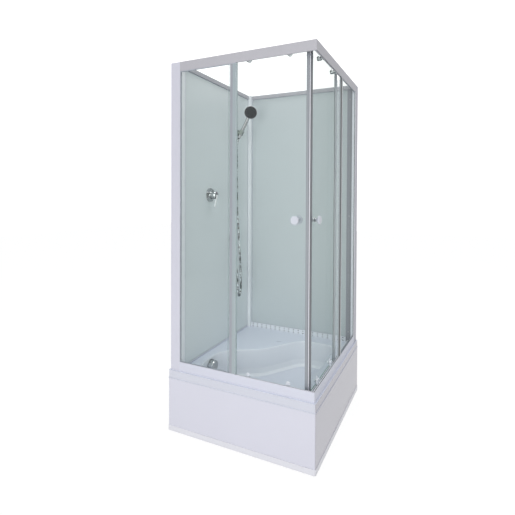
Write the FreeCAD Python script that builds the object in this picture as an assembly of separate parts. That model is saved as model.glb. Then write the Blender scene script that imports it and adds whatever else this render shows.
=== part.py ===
"""Square shower cabin with a deep tray and two sliding corner doors.

The origin is on the floor under the tray's centre. X runs along the front face,
Y from the front to the back wall and Z up. Lengths are in millimetres.
"""

import FreeCAD
import Part
import math
import os

V = FreeCAD.Vector

# Driving dimensions of the whole cabin
tray_side = 900.0
tray_height = 352.0
enclosure_height = 1758.0
frame_inset = 12.0
wall_inset = 53.0
overrun = 1.0
running_gap = 0.3
bore_gap = 0.05
round_share = 0.3

# Tray: a thermoformed shell with a rim band and a deep basin with a seat at the rear left
tray_skin = 5.0
rim_height = 46.0
rim_setback = 3.0
rim_corner_radius = 8.0
bead_height = 5.0
ledge_left = 129.0
ledge_front = 105.0
ledge_right = 105.0
ledge_back = 175.0
basin_depth = 172.0
seat_edge_shares = ((0.625, 1.0), (0.354, 0.597), (0.089, 0.456), (0.0, 0.335))
basin_corner_share = 0.078
seat_corner_shares = (0.133, 0.156, 0.1, 0.078)
basin_lip_radius = 6.0
basin_foot_radius = 50.0
basin_foot_shares = (0.5, 0.8)
drain_hole_radius = 24.0
drain_from_left = 131.0
drain_share = 0.21
overflow_hole_radius = 20.0
overflow_drop = 48.0

# Apron: an L-shaped panel under the rim at the front and the right
apron_gap = 30.0
apron_stand_share = 0.25
apron_thickness = 4.0
apron_return = 12.0
apron_corner_radius = 8.0
plinth_gap = 4.0
plinth_lap = 4.0

# Steel frame under the tray, with six levelling feet
beam_size = 30.0
beam_wall = 2.0
beam_edge_gap = 8.0
upright_size = 20.0
foot_radius = 22.0
foot_base_height = 6.0
foot_height = 18.0
foot_neck_radius = 10.0
stud_radius = 6.0
stud_socket_depth = 10.0
nut_radius = 11.0
nut_height = 9.0
nut_sides = 6
mid_foot_shares = (0.47, 0.47)
clip_width = 30.0
clip_height = 20.0
clip_shares = (-0.8, -0.25, 0.3, 0.8)

# Waste, overflow and the pop-up plug
flange_radius = 32.0
flange_height = 3.0
flange_bore = 19.0
plug_radius = 21.0
plug_height = 5.0
plug_stem_radius = 3.0
plug_stem_length = 30.0
trap_radius = 36.0
trap_height = 95.0
waste_radius = 20.0
waste_bore = 17.5
waste_length = 60.0
waste_rise = 26.0
waste_collar_radius = 24.0
waste_collar = 4.0
rosette_radius = 37.0
rosette_thickness = 6.0
knob_cap_radius = 34.0
knob_cap_length = 30.0
knob_cap_round = 5.0
knob_cap_grips = 6
knob_cap_grip_radius = 6.0
overflow_stem_radius = 6.0
overflow_body_radius = 28.0
overflow_body_length = 40.0
overflow_pipe_radius = 10.0
overflow_pipe_bend = 30.0

# Aluminium profiles of the enclosure
post_width = 62.0
post_depth = 36.0
profile_wall = 2.0
glazing_slot_depth = 14.0
edge_profile_width = 22.0
edge_profile_depth = 16.0
edge_profile_step = 2.0
corner_post_side = 40.0
corner_post_setback = 25.0
wall_rail_height = 25.0
wall_rail_depth = 20.0
wall_slot_depth = 12.0
sill_height = 10.0
sill_depth = 14.0
sill_slot_depth = 6.0
back_rail_height = 32.0
vent_hole_radius = 2.5
vent_hole_depth = 3.0
vent_pitch = 37.0
vent_rows_from_edge = 7.0

# Rails of the two sliding sides, which mirror each other in the corner's diagonal
top_rail_height = 52.0
top_rail_depth = 26.5
bottom_rail_height = 52.0
bottom_rail_depth = 46.0
bottom_rail_step = 38.0
fascia_thickness = 2.0
rib_thickness = 1.5
skirt_height = 18.0
track_lip_reach = 6.5
track_lip_thickness = 2.0
track_lip_rise = 3.2
pocket_depth_top = 24.0
pocket_depth_bottom = 30.0
guide_groove_width = 6.0
guide_groove_depth = 9.0
corner_bracket_arm = 60.0
corner_bracket_width = 12.0
corner_bracket_thickness = 3.0

# Glass
wall_glass = 5.0
clear_glass = 4.0
glazing_gap = 0.5
wall_slot_gap = 0.4
fixed_glass_reach = 364.0
door_glass_top = 12.0
door_glass_rise = 3.0

# Seals
seal_lip = 1.5
fixed_seal_width = 33.0
fixed_seal_fin = 4.0
door_fin_gap = 1.0
door_overlap = 50.0
rear_seal_width = 34.0
magnet_lip_length = 17.0
magnet_setback = 49.5
magnet_gap = 0.3
seal_cap = 2.0

# Rollers, guides and door travel
wheel_radius = 9.5
wheel_width = 5.0
wheel_side_gap = 1.3
axle_radius = 2.5
axle_head_radius = 4.0
axle_head_length = 0.5
carrier_gap = 0.8
carrier_width = 20.0
carrier_thickness = 3.7
carrier_bolt_radius = 5.0
carrier_rise = 2.0
carrier_neck_radius = 8.0
carrier_boss_radius = 13.0
carrier_boss_length = 12.5
carrier_cap_length = 3.0
carrier_cap_shares = (0.5, 0.9)
door_standoff = 24.0
roller_near = 158.0
roller_far = 392.0
guide_width = 26.0
guide_thickness = 12.0
guide_rise = 26.0
guide_round = 3.0
guide_tongue = 5.0
guide_tongue_share = 0.8
guide_tongue_drop = 11.0
guide_button_radius = 10.0
guide_button_length = 8.0
guide_bolt_radius = 4.0

# Door knobs
door_knob_setback = 118.0
door_knob_height = 1235.0
door_knob_radius = 23.0
door_knob_flare = 11.0
door_knob_rim = 6.0
door_knob_round = 4.0
door_knob_stem = 9.0
door_knob_stem_radius = 6.0
door_knob_collar_radius = 9.0
door_knob_collar = 3.0

# Screws that hold the wall edge profiles
screw_head_radius = 4.0
screw_head_height = 2.5
screw_radius = 2.0
screw_length = 8.0
screw_shares = (0.04, 0.5, 0.96)

# Concealed single-lever mixer on the left wall
mixer_from_front = 307.0
mixer_height = 1359.0
valve_radius = 25.0
valve_length = 40.0
valve_neck_radius = 17.0
valve_neck_length = 34.0
inlet_radius = 10.5
inlet_reach = 40.0
inlet_offset = 38.0
inlet_collar_radius = 12.0
inlet_collar_reach = 16.0
inlet_bar_radius = 13.0
inlet_bar_reach = 52.0
mixer_plate_radius = 44.0
mixer_plate_thickness = 4.0
mixer_plate_dome = 9.0
mixer_sleeve_radius = 23.0
mixer_sleeve_length = 20.0
mixer_cap_radius = 24.0
mixer_cap_length = 21.0
mixer_cap_round = 6.0
mixer_stem_radius = 8.0
mixer_stem_length = 12.0
lever_slot_gap = 0.3
lever_root_radius = 7.0
lever_width = 12.0
lever_tip_share = 0.9
lever_thickness = 5.0
lever_reach = 82.0
lever_step = 14.0
lever_lean = 20.0

# Wall outlet, feed pipe and the hose's wall end
outlet_from_front = 560.0
outlet_height = 1058.0
outlet_standoff = 35.0
outlet_plate_radius = 25.0
outlet_plate_thickness = 6.0
outlet_radius = 11.0
outlet_drop = 12.0
outlet_stub = 12.0
hose_nut_radius = 11.5
hose_nut_length = 22.0
feed_radius = 6.0
feed_boss_radius = 8.0
feed_bend = 40.0

# Hand shower in its swivelling holder
holder_from_front = 601.0
holder_height = 1799.0
holder_block_depth = 35.0
holder_block_width = 24.0
holder_block_height = 39.0
holder_round = 3.0
cup_standoff = 22.0
cup_radius = 16.5
cup_half_height = 16.0
cup_mouth = 16.0
cup_arm_radius = 9.0
cup_pin_radius = 4.0
cup_pin_length = 20.0
handset_lean = 24.5
handset_turn = 41.0
handset_profile_radii = (11.5, 12.5, 11.5, 11.0)
handset_profile_stops = (-20.0, 20.0, 62.0, 150.0)
cone_nut_radii = (9.5, 11.5)
cone_nut_length = 22.0
head_distance = 160.0
head_standoff = 12.0
head_radius = 45.5
head_depth = 20.0
head_front_share = 0.1
head_profile_shares = ((-0.45, 0.92), (-0.15, 1.0), (0.1, 1.0))
head_back_radius = 24.0
head_facing_shares = (0.55, -0.80, 0.0)
spray_radius = 43.0
spray_rim_share = 0.6
spray_face_share = 0.9
spray_recess = 1.5
spray_thickness = 3.0

# Shower hose: a spiral steel hose of 14 mm, from the handset's nut to the wall outlet
hose_radius = 7.0
hose_valley_radius = 6.2
hose_bore_radius = 4.0
hose_ribs = 190
hose_rib_shares = (0.0, 0.22, 0.62, 0.84)
hose_end_run = 22.0
hose_arc_share = 0.45
hose_bends = (
    (-351.0, 143.0, 1712.0),
    (-351.5, 143.5, 1660.0),
    (-351.0, 145.5, 1560.0),
    (-350.5, 147.0, 1400.0),
    (-351.0, 150.5, 1240.0),
    (-350.5, 170.0, 1095.0),
    (-351.5, 184.0, 965.0),
    (-352.5, 200.0, 860.0),
    (-356.0, 211.5, 765.0),
    (-357.5, 214.5, 720.0),
    (-356.9, 213.5, 677.0),
    (-350.6, 195.7, 650.0),
    (-340.5, 166.5, 640.0),
    (-330.4, 137.3, 649.0),
    (-324.1, 119.3, 676.0),
    (-323.0, 114.0, 735.0),
    (-327.0, 112.0, 820.0),
    (-336.0, 105.0, 900.0),
    (-345.0, 108.0, 965.0),
)

# Levels and planes that follow from the driving dimensions
half = tray_side / 2
frame = half - frame_inset
deck_z = tray_height
top_z = tray_height + enclosure_height
wall_plane = frame - wall_inset
rim_half = half - rim_setback
rim_bottom = tray_height - rim_height
floor_z = tray_height - basin_depth
basin_left = -half + ledge_left
basin_front = -half + ledge_front
basin_right = half - ledge_right
basin_back = half - ledge_back
drain_x = basin_left + drain_from_left
drain_y = basin_front + drain_share * (basin_back - basin_front)
overflow_z = tray_height - overflow_drop
beam_top = floor_z - tray_skin
beam_bottom = beam_top - beam_size
apron_face = half - rim_setback + apron_stand_share * rim_setback
beam_centre = apron_face - apron_thickness - beam_edge_gap - beam_size / 2
rail_start = -frame + post_width
top_rail_bottom = top_z - top_rail_height
bottom_rail_top = deck_z + bottom_rail_height
inner_sill_top = bottom_rail_top - bottom_rail_step

# Depths behind the outer face of a sliding side
fixed_face = fascia_thickness + glazing_gap
rib_face = fixed_face + clear_glass + glazing_gap
bay_face = rib_face + rib_thickness
wheel_face = bay_face + wheel_side_gap
lip_end = bay_face + track_lip_reach
carrier_face = lip_end + carrier_gap
door_face = carrier_face + carrier_thickness + door_standoff
door_back = door_face + clear_glass
lip_top = top_rail_bottom + track_lip_rise + track_lip_thickness
wheel_z = lip_top + running_gap + wheel_radius
carrier_z = wheel_z + carrier_rise
glass_top = top_z - door_glass_top
glass_bottom = inner_sill_top + door_glass_rise
guide_z = glass_bottom + guide_rise / 2
door_lead = frame - magnet_setback
fixed_end = rail_start + fixed_glass_reach
door_trail = fixed_end - door_overlap
knob_x = frame - door_knob_setback

mixer_y = -frame + mixer_from_front
outlet_y = -frame + outlet_from_front
holder_y = -frame + holder_from_front


def box(x0, x1, y0, y1, z0, z1):
    """A block between two values of each axis."""
    low = V(min(x0, x1), min(y0, y1), min(z0, z1))
    return Part.makeBox(abs(x1 - x0), abs(y1 - y0), abs(z1 - z0), low)


def rod(centre, axis, radius, length):
    """A cylinder that starts at a point and runs along an axis."""
    return Part.makeCylinder(radius, length, centre, axis)


def ring(centre, axis, radius, bore, length):
    """A cylinder with a coaxial hole right through."""
    hole = rod(centre - axis * overrun, axis, bore, length + 2 * overrun)
    return rod(centre, axis, radius, length).cut(hole)


def fused(shapes):
    """One solid from pieces that overlap or touch."""
    whole = shapes[0]
    for shape in shapes[1:]:
        whole = whole.fuse(shape)
    return whole.removeSplitter()


def across(shape):
    """The same piece on the right side: the mirror image in the corner's diagonal."""
    return shape.mirror(V(0, 0, 0), V(1, 1, 0))


def turned(profile, centre, axis):
    """A solid of revolution: profile lists (distance along the axis, radius)."""
    points = [V(radius, 0, along) for along, radius in profile]
    outline = [V(0, 0, profile[0][0])] + points + [V(0, 0, profile[-1][0])]
    face = Part.Face(Part.makePolygon(outline + [outline[0]]))
    solid = face.revolve(V(0, 0, 0), V(0, 0, 1), 360)
    solid.Placement = FreeCAD.Placement(centre, FreeCAD.Rotation(V(0, 0, 1), axis))
    return solid


def rounded_edges(solid, radius, chosen):
    """The solid with the edges that a test picks rounded."""
    edges = [edge for edge in solid.Edges if chosen(edge)]
    return solid.makeFillet(radius, edges)


def upright(edge):
    """Whether an edge is straight and vertical."""
    ends = [vertex.Point for vertex in edge.Vertexes]
    return len(ends) == 2 and (ends[1] - ends[0]).cross(V(0, 0, 1)).Length < bore_gap


def save(name, solids):
    """Write one sub-part as a solid or a group of separate solids."""
    group = []
    for shape in solids:
        group.extend(shape.Solids)
    whole = group[0] if len(group) == 1 else Part.makeCompound(group)
    whole.exportStep(os.path.join("parts", name + ".step"))


def offset_corners(points, inset):
    """The corners of a polygon, walked anticlockwise, moved inwards by an inset."""
    count = len(points)
    moved = []
    for i in range(count):
        before = (points[i] - points[i - 1]).normalize()
        after = (points[(i + 1) % count] - points[i]).normalize()
        inward_before = V(-before.y, before.x, 0)
        inward_after = V(-after.y, after.x, 0)
        share = 1 + inward_before.dot(inward_after)
        moved.append(points[i] + (inward_before + inward_after) * (inset / share))
    return moved


def rounded_outline(points, radii, inset, z):
    """A closed wire of straight lines joined by tangent arcs, at one level."""
    corners = offset_corners(points, inset)
    count = len(corners)
    marks = []
    for i in range(count):
        before = (corners[i] - corners[i - 1]).normalize()
        after = (corners[(i + 1) % count] - corners[i]).normalize()
        turn = before.getAngle(after)
        leftward = before.x * after.y - before.y * after.x > 0
        radius = radii[i] - inset if leftward else radii[i] + inset
        reach = radius * math.tan(turn / 2)
        start = corners[i] - before * reach
        end = corners[i] + after * reach
        bisector = (after - before).normalize()
        middle = corners[i] + bisector * (radius / math.cos(turn / 2) - radius)
        marks.append((start, middle, end))
    edges = []
    for i, (start, middle, end) in enumerate(marks):
        edges.append(Part.Arc(start, middle, end).toShape())
        edges.append(Part.LineSegment(end, marks[(i + 1) % count][0]).toShape())
    wire = Part.Wire(edges)
    wire.translate(V(0, 0, z))
    return wire


def basin_corners():
    """Corners of the basin's rim; the last four follow the seat's front edge."""
    width = basin_right - basin_left
    depth = basin_back - basin_front
    corners = [V(basin_left, basin_front, 0), V(basin_right, basin_front, 0)]
    corners.append(V(basin_right, basin_back, 0))
    for across_share, along_share in seat_edge_shares:
        x = basin_left + across_share * width
        corners.append(V(x, basin_front + along_share * depth, 0))
    return corners


def basin_levels():
    """Level and inset of the basin's wall, from its rounded lip to its rounded foot."""
    lip = basin_lip_radius
    foot = basin_foot_radius
    levels = [(deck_z, -lip), (deck_z - round_share * lip, -round_share * lip), (deck_z - lip, 0)]
    levels.append((floor_z + foot, 0))
    for share in basin_foot_shares:
        drop = foot * math.sqrt(1 - share * share)
        levels.append((floor_z + foot - drop, foot * (1 - share)))
    levels = sorted(levels, key=lambda level: -level[0])
    levels.append((floor_z, foot))
    return levels


def basin_outline(inset, z):
    """The basin's outline at one level, moved inwards by an inset."""
    shares = [basin_corner_share] * 3 + list(seat_corner_shares)
    radii = [share * tray_side for share in shares]
    return rounded_outline(basin_corners(), radii, inset, z)


def loft_levels(levels, skin):
    """A solid through the basin's outlines, grown by a skin where one is given."""
    wires = [basin_outline(inset - skin, z - skin) for z, inset in levels]
    return Part.makeLoft(wires, True, True)


def mouth_block(z0, z1):
    """An upright block on the outline where the basin's lip leaves the deck."""
    face = Part.Face(basin_outline(-basin_lip_radius - tray_skin, z0))
    return face.extrude(V(0, 0, z1 - z0))


def tray_deck():
    """Deck and rim band with its bead, open where the basin hangs."""
    rim = box(-rim_half, rim_half, -rim_half, rim_half, rim_bottom, deck_z)
    rim = rounded_edges(rim, rim_corner_radius, upright)
    bead = box(-half, half, -half, half, rim_bottom - bead_height / 2, rim_bottom + bead_height / 2)
    bead = rounded_edges(bead, rim_corner_radius + rim_setback, upright)
    inner = rim_half - tray_skin
    void = box(-inner, inner, -inner, inner, rim_bottom - bead_height, deck_z - tray_skin)
    mouth = mouth_block(deck_z - tray_skin - overrun, deck_z + overrun)
    return fused([rim, bead]).cut(void).cut(mouth)


def tray_basin():
    """Basin with its rounded lip and foot, and holes for the drain and the overflow."""
    levels = basin_levels()
    shell = fused([mouth_block(deck_z - tray_skin, deck_z), loft_levels(levels, tray_skin)])
    mouth = [(deck_z + overrun, -basin_lip_radius)] + levels
    shell = shell.cut(loft_levels(mouth, 0))
    down = V(0, 0, -1)
    drain = V(drain_x, drain_y, floor_z + overrun)
    shell = shell.cut(rod(drain, down, drain_hole_radius, tray_skin + 2 * overrun))
    side = V(basin_left + overrun, drain_y, overflow_z)
    shell = shell.cut(rod(side, V(-1, 0, 0), overflow_hole_radius, tray_skin + 2 * overrun))
    return shell.removeSplitter()


def corner_strip(face, thickness, radius, z0, z1):
    """An L-shaped strip along the front and the right, with a rounded corner."""
    back = face - thickness
    outer = box(-face, face, -face, face, z0, z1)
    outer = rounded_edges(outer, radius, upright)
    cavity = box(-back, back, -back, back, z0 - overrun, z1 + overrun)
    cavity = rounded_edges(cavity, radius - thickness, upright)
    keep_front = box(-face, face, -face, -back, z0, z1)
    keep_right = box(back, face, -face, face, z0, z1)
    corner = box(back - radius, face, -face, -back + radius, z0, z1)
    return outer.cut(cavity).common(keep_front.fuse([keep_right, corner]))


def apron_panel():
    """L-shaped panel with a rounded corner and a stiffening return at its foot."""
    back = apron_face - apron_thickness
    top = rim_bottom - bead_height / 2
    panel = corner_strip(apron_face, apron_thickness, apron_corner_radius, apron_gap, top)
    inner = back - apron_return
    foot = apron_gap + apron_thickness
    front_return = box(-back, back, -back, -inner, apron_gap, foot)
    right_return = box(inner, back, -back, back, apron_gap, foot)
    return fused([panel, front_return, right_return])


def apron_plinth():
    """Thin strip that laps over the apron's foot and closes the gap to the floor."""
    thickness = half - apron_face
    radius = apron_corner_radius + thickness
    return corner_strip(half, thickness, radius, plinth_gap, apron_gap + plinth_lap)


def square_tube(x0, x1, y0, y1, z0, z1):
    """A square tube with open ends, hollow along its longer side."""
    wall = beam_wall
    if x1 - x0 > y1 - y0:
        hollow = box(x0 - overrun, x1 + overrun, y0 + wall, y1 - wall, z0 + wall, z1 - wall)
    else:
        hollow = box(x0 + wall, x1 - wall, y0 - overrun, y1 + overrun, z0 + wall, z1 - wall)
    return box(x0, x1, y0, y1, z0, z1).cut(hollow)


def foot_places():
    """Plan positions of the six levelling feet: four corners' sides, rear left, centre."""
    c = beam_centre
    front_share, right_share = mid_foot_shares
    return [
        V(-c, -c, 0),
        V(front_share * c, -c, 0),
        V(c, -right_share * c, 0),
        V(c, c, 0),
        V(-c, c, 0),
        V(0, 0, 0),
    ]


def perimeter_beams():
    """Four beams of the steel frame, drilled for the feet's studs."""
    c = beam_centre
    s = beam_size / 2
    beams = [
        square_tube(-c - s, c + s, -c - s, -c + s, beam_bottom, beam_top),
        square_tube(-c - s, c + s, c - s, c + s, beam_bottom, beam_top),
        square_tube(-c - s, -c + s, -c + s, c - s, beam_bottom, beam_top),
        square_tube(c - s, c + s, -c + s, c - s, beam_bottom, beam_top),
    ]
    return [drilled(beam) for beam in beams]


def drilled(beam):
    """A beam with holes in its lower wall for the studs under it."""
    for place in foot_places():
        base = V(place.x, place.y, beam_bottom - overrun)
        beam = beam.cut(rod(base, V(0, 0, 1), stud_radius + bore_gap, beam_size / 2))
    return beam


def cross_beams():
    """Two beams that cross under the basin, one of them in two halves."""
    s = beam_size / 2
    reach = beam_centre - s
    return [
        drilled(square_tube(-s, s, -reach, reach, beam_bottom, beam_top)),
        square_tube(-reach, -s, -s, s, beam_bottom, beam_top),
        square_tube(s, reach, -s, s, beam_bottom, beam_top),
    ]


def frame_uprights():
    """Posts from the frame's corners to the underside of the deck."""
    s = upright_size / 2
    posts = []
    for sx in (-1, 1):
        for sy in (-1, 1):
            x = sx * beam_centre
            y = sy * beam_centre
            posts.append(box(x - s, x + s, y - s, y + s, beam_top, deck_z - tray_skin))
    return posts


def foot_pads():
    """Round plastic feet with a socket for the stud."""
    profile = [(0, foot_radius), (foot_base_height, foot_radius), (foot_height, foot_neck_radius)]
    pads = []
    for place in foot_places():
        pad = turned(profile, place, V(0, 0, 1))
        socket = V(place.x, place.y, foot_height - stud_socket_depth)
        pads.append(pad.cut(rod(socket, V(0, 0, 1), stud_radius, stud_socket_depth + overrun)))
    return pads


def foot_studs():
    """Threaded studs from the feet up into the beams."""
    start = foot_height - stud_socket_depth
    length = beam_top - beam_wall - start
    return [rod(V(p.x, p.y, start), V(0, 0, 1), stud_radius, length) for p in foot_places()]


def foot_nuts():
    """Hexagonal lock nuts, one on each foot and one under each beam."""
    nuts = []
    for place in foot_places():
        for z in (foot_height, beam_bottom - nut_height):
            corners = []
            for k in range(nut_sides + 1):
                angle = 2 * math.pi * k / nut_sides
                x = place.x + nut_radius * math.cos(angle)
                corners.append(V(x, place.y + nut_radius * math.sin(angle), z))
            nut = Part.Face(Part.makePolygon(corners)).extrude(V(0, 0, nut_height))
            bore = V(place.x, place.y, z - overrun)
            nuts.append(nut.cut(rod(bore, V(0, 0, 1), stud_radius, nut_height + 2 * overrun)))
    return nuts


def apron_clips():
    """Blocks between the frame and the apron's back face."""
    inner = beam_centre + beam_size / 2
    outer = apron_face - apron_thickness
    z0 = beam_bottom + (beam_size - clip_height) / 2
    clips = []
    for share in clip_shares:
        x = share * beam_centre
        front = box(x - clip_width / 2, x + clip_width / 2, -outer, -inner, z0, z0 + clip_height)
        clips.append(front)
        clips.append(across(front))
    return clips


def drain_flange():
    """Chrome flange in the drain hole, with its threaded neck."""
    up = V(0, 0, 1)
    seat = V(drain_x, drain_y, floor_z)
    rim = ring(seat, up, flange_radius, flange_bore, flange_height)
    neck_length = tray_skin + flange_height
    start = seat - up * neck_length
    neck = ring(start, up, drain_hole_radius, flange_bore, neck_length + flange_height / 2)
    return fused([rim, neck])


def drain_plug():
    """Plug that closes the flange, with a stem that the overflow's cable lifts."""
    seat = V(drain_x, drain_y, floor_z + flange_height + running_gap)
    cap = turned(
        [(0, plug_radius), (plug_height / 2, plug_radius), (plug_height, plug_radius / 2)],
        seat,
        V(0, 0, 1),
    )
    stem = rod(seat, V(0, 0, -1), plug_stem_radius, plug_stem_length)
    return fused([cap, stem])


def drain_trap():
    """Bottle trap under the drain, with a spigot for the waste pipe."""
    top = floor_z - tray_skin
    base = V(drain_x, drain_y, top - trap_height)
    body = rod(base, V(0, 0, 1), trap_radius, trap_height)
    mouth = V(drain_x, drain_y, top + overrun)
    well = rod(mouth, V(0, 0, -1), drain_hole_radius + running_gap, trap_height / 2)
    outlet = V(drain_x, drain_y, base.z + waste_rise)
    along = V(0, 1, 0)
    spigot = rod(outlet, along, waste_radius, trap_radius + waste_length)
    collar = rod(outlet, along, waste_collar_radius, trap_radius + waste_collar)
    tip = outlet + along * (trap_radius + waste_length + overrun)
    bore = rod(tip, -along, waste_bore, waste_length + overrun)
    return fused([body.fuse(collar).cut(well), spigot]).cut(bore)


def bent_pipe(points, radius, bend):
    """A round pipe along straight runs joined by arcs of one radius."""
    pieces = []
    start = points[0]
    for i in range(1, len(points) - 1):
        before = (points[i] - points[i - 1]).normalize()
        after = (points[i + 1] - points[i]).normalize()
        turn = before.getAngle(after)
        reach = bend * math.tan(turn / 2)
        enter = points[i] - before * reach
        inward = (after - before * before.dot(after)).normalize()
        disc = Part.Face(Part.Wire([Part.makeCircle(radius, enter, before)]))
        hinge = before.cross(inward)
        pieces.append(rod(start, before, radius, (enter - start).Length))
        pieces.append(disc.revolve(enter + inward * bend, hinge, math.degrees(turn)))
        start = points[i] + after * reach
    along = points[-1] - start
    pieces.append(rod(start, along, radius, along.Length))
    return fused(pieces)


def overflow_pipe():
    """Overflow chamber behind the basin's wall, and its pipe to the trap."""
    back = basin_left - tray_skin
    chamber = V(back, drain_y, overflow_z)
    body = rod(chamber, V(-1, 0, 0), overflow_body_radius, overflow_body_length)
    bore = overflow_stem_radius + running_gap
    body = body.cut(rod(chamber + V(overrun, 0, 0), V(-1, 0, 0), bore, overflow_body_length / 2))
    x = back - overflow_body_length / 2
    z = floor_z - tray_skin - trap_height / 2
    route = [
        V(x, drain_y, overflow_z - overflow_body_radius / 2),
        V(x, drain_y, z),
        V(drain_x - trap_radius + overrun / 2, drain_y, z),
    ]
    pipe = bent_pipe(route, overflow_pipe_radius, overflow_pipe_bend)
    trap = rod(V(drain_x, drain_y, floor_z - tray_skin - trap_height), V(0, 0, 1), trap_radius, trap_height)
    return fused([body, pipe]).cut(trap)


def overflow_rosette():
    """Chrome ring on the basin's wall, clamped through it."""
    out = V(1, 0, 0)
    face = V(basin_left, drain_y, overflow_z)
    bore = overflow_stem_radius + bore_gap
    plate = ring(face, out, rosette_radius, bore, rosette_thickness)
    neck = ring(face - out * tray_skin, out, overflow_hole_radius, bore, tray_skin + overrun)
    return fused([plate, neck])


def overflow_knob():
    """Turning cap of the overflow, with finger grips round its edge."""
    out = V(1, 0, 0)
    base = V(basin_left + rosette_thickness + running_gap, drain_y, overflow_z)
    r = knob_cap_radius
    step = knob_cap_round
    profile = [(0, r), (knob_cap_length - step, r)]
    bevel = round_share * step
    profile += [(knob_cap_length - bevel, r - bevel), (knob_cap_length, r - step)]
    cap = turned(profile, base, out)
    for k in range(knob_cap_grips):
        angle = 2 * math.pi * k / knob_cap_grips
        offset = V(0, math.cos(angle), math.sin(angle)) * (r + knob_cap_grip_radius / 2)
        grip = rod(base + offset - out * overrun, out, knob_cap_grip_radius, knob_cap_length / 2)
        cap = cap.cut(grip)
    reach = rosette_thickness + running_gap + tray_skin + overflow_body_length / 4
    stem = rod(base + out * overrun, V(-1, 0, 0), overflow_stem_radius, reach + overrun)
    return fused([cap, stem])


def front_post():
    """Box profile at the front left corner, slotted for the fixed glass."""
    t = profile_wall
    x0 = -frame
    x1 = x0 + post_width
    y0 = -frame
    y1 = y0 + post_depth
    web = x1 - glazing_slot_depth
    post = box(x0, x1, y0, y1, deck_z, top_z)
    cell = box(x0 + t, web - t, y0 + t, y1 - t, deck_z - overrun, top_z - t)
    slot = box(web, x1 + overrun, y0 + fascia_thickness, y0 + rib_face, deck_z - overrun, top_z + overrun)
    side = box(web, x1 - t, y0 + rib_face + t, y1 - t, deck_z - overrun, top_z - t)
    return post.cut(cell).cut(slot).cut(side)


def wall_slot(y0, y1, z0, z1):
    """The room that the left wall's glass takes in a profile."""
    gap = wall_slot_gap
    return box(-wall_plane - wall_glass - gap, -wall_plane + gap, y0, y1, z0, z1)


def wall_edge_profile():
    """Channel that holds the left wall's front edge behind the post."""
    x1 = -wall_plane + edge_profile_step
    x0 = x1 - edge_profile_depth
    y0 = -frame + post_depth
    y1 = y0 + edge_profile_width
    top = top_z - wall_rail_height
    channel = box(x0, x1, y0, y1, deck_z, top)
    slot = wall_slot(y1 - wall_slot_depth, y1 + overrun, deck_z - overrun, top + overrun)
    channel = channel.cut(slot)
    for z in screw_levels():
        hole = rod(V(x1 + overrun, screw_y(), z), V(-1, 0, 0), screw_radius, screw_length + overrun)
        channel = channel.cut(hole)
    return channel


def screw_levels():
    """Heights of the screws in a wall edge profile."""
    height = enclosure_height - wall_rail_height
    return [deck_z + share * height for share in screw_shares]


def screw_y():
    """Middle of the solid part of the left wall's edge profile."""
    return -frame + post_depth + (edge_profile_width - wall_slot_depth) / 2


def profile_screws():
    """Pan-head screws of the two wall edge profiles."""
    x = -wall_plane + edge_profile_step
    screws = []
    for z in screw_levels():
        head = turned(
            [(0, screw_head_radius), (screw_head_height / 2, screw_head_radius)]
            + [(screw_head_height, screw_head_radius / 2)],
            V(x, screw_y(), z),
            V(1, 0, 0),
        )
        shank = rod(V(x, screw_y(), z), V(-1, 0, 0), screw_radius, screw_length)
        screw = fused([head, shank])
        screws.append(screw)
        screws.append(across(screw))
    return screws


def corner_post():
    """Square profile in the rear corner, slotted for both wall panels."""
    x0 = -wall_plane - (corner_post_side - corner_post_setback)
    x1 = x0 + corner_post_side
    y1 = -x0
    y0 = -x1
    post = box(x0, x1, y0, y1, deck_z, top_z)
    slot = wall_slot(y0 - overrun, y0 + wall_slot_depth, deck_z - overrun, top_z + overrun)
    return post.cut(slot).cut(across(slot))


def left_wall_span():
    """Where the left wall's rails run, between the post's channel and the corner post."""
    start = -frame + post_depth
    end = wall_plane - corner_post_setback
    return start, end


def wall_top_rail():
    """Channel along the left wall's top edge."""
    start, end = left_wall_span()
    centre = -wall_plane - wall_glass / 2
    bottom = top_z - wall_rail_height
    rail = box(
        centre - wall_rail_depth / 2, centre + wall_rail_depth / 2, start, end, bottom, top_z
    )
    return rail.cut(wall_slot(start - overrun, end + overrun, bottom - overrun, bottom + wall_slot_depth))


def left_sill():
    """Low channel under the left wall's glass."""
    start, end = left_wall_span()
    start += edge_profile_width
    centre = -wall_plane - wall_glass / 2
    sill = box(
        centre - sill_depth / 2, centre + sill_depth / 2, start, end, deck_z, deck_z + sill_height
    )
    top = deck_z + sill_height
    return sill.cut(wall_slot(start - overrun, end + overrun, top - sill_slot_depth, top + overrun))


def back_sill():
    """Channel under the back wall's glass, with two rows of small vent holes."""
    start, end = left_wall_span()
    start += edge_profile_width
    centre = -wall_plane - wall_glass / 2
    face = centre + wall_rail_depth / 2
    top = deck_z + back_rail_height
    rail = box(centre - wall_rail_depth / 2, face, start, end, deck_z, top)
    rail = rail.cut(wall_slot(start - overrun, end + overrun, top - wall_slot_depth, top + overrun))
    count = int((end - start) / vent_pitch)
    first = (start + end - (count - 1) * vent_pitch) / 2
    for k in range(count):
        for z in (deck_z + vent_rows_from_edge, top - vent_rows_from_edge):
            mouth = V(face + overrun, first + k * vent_pitch, z)
            rail = rail.cut(rod(mouth, V(-1, 0, 0), vent_hole_radius, vent_hole_depth + overrun))
    return across(rail)


def wall_panel(bottom):
    """Glass of the left wall, seated in the channels at its four edges."""
    start, end = left_wall_span()
    y0 = start + edge_profile_width - wall_slot_depth
    y1 = end + wall_slot_depth
    z1 = top_z - wall_rail_height + wall_slot_depth
    return box(-wall_plane - wall_glass, -wall_plane, y0, y1, bottom, z1)


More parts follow.
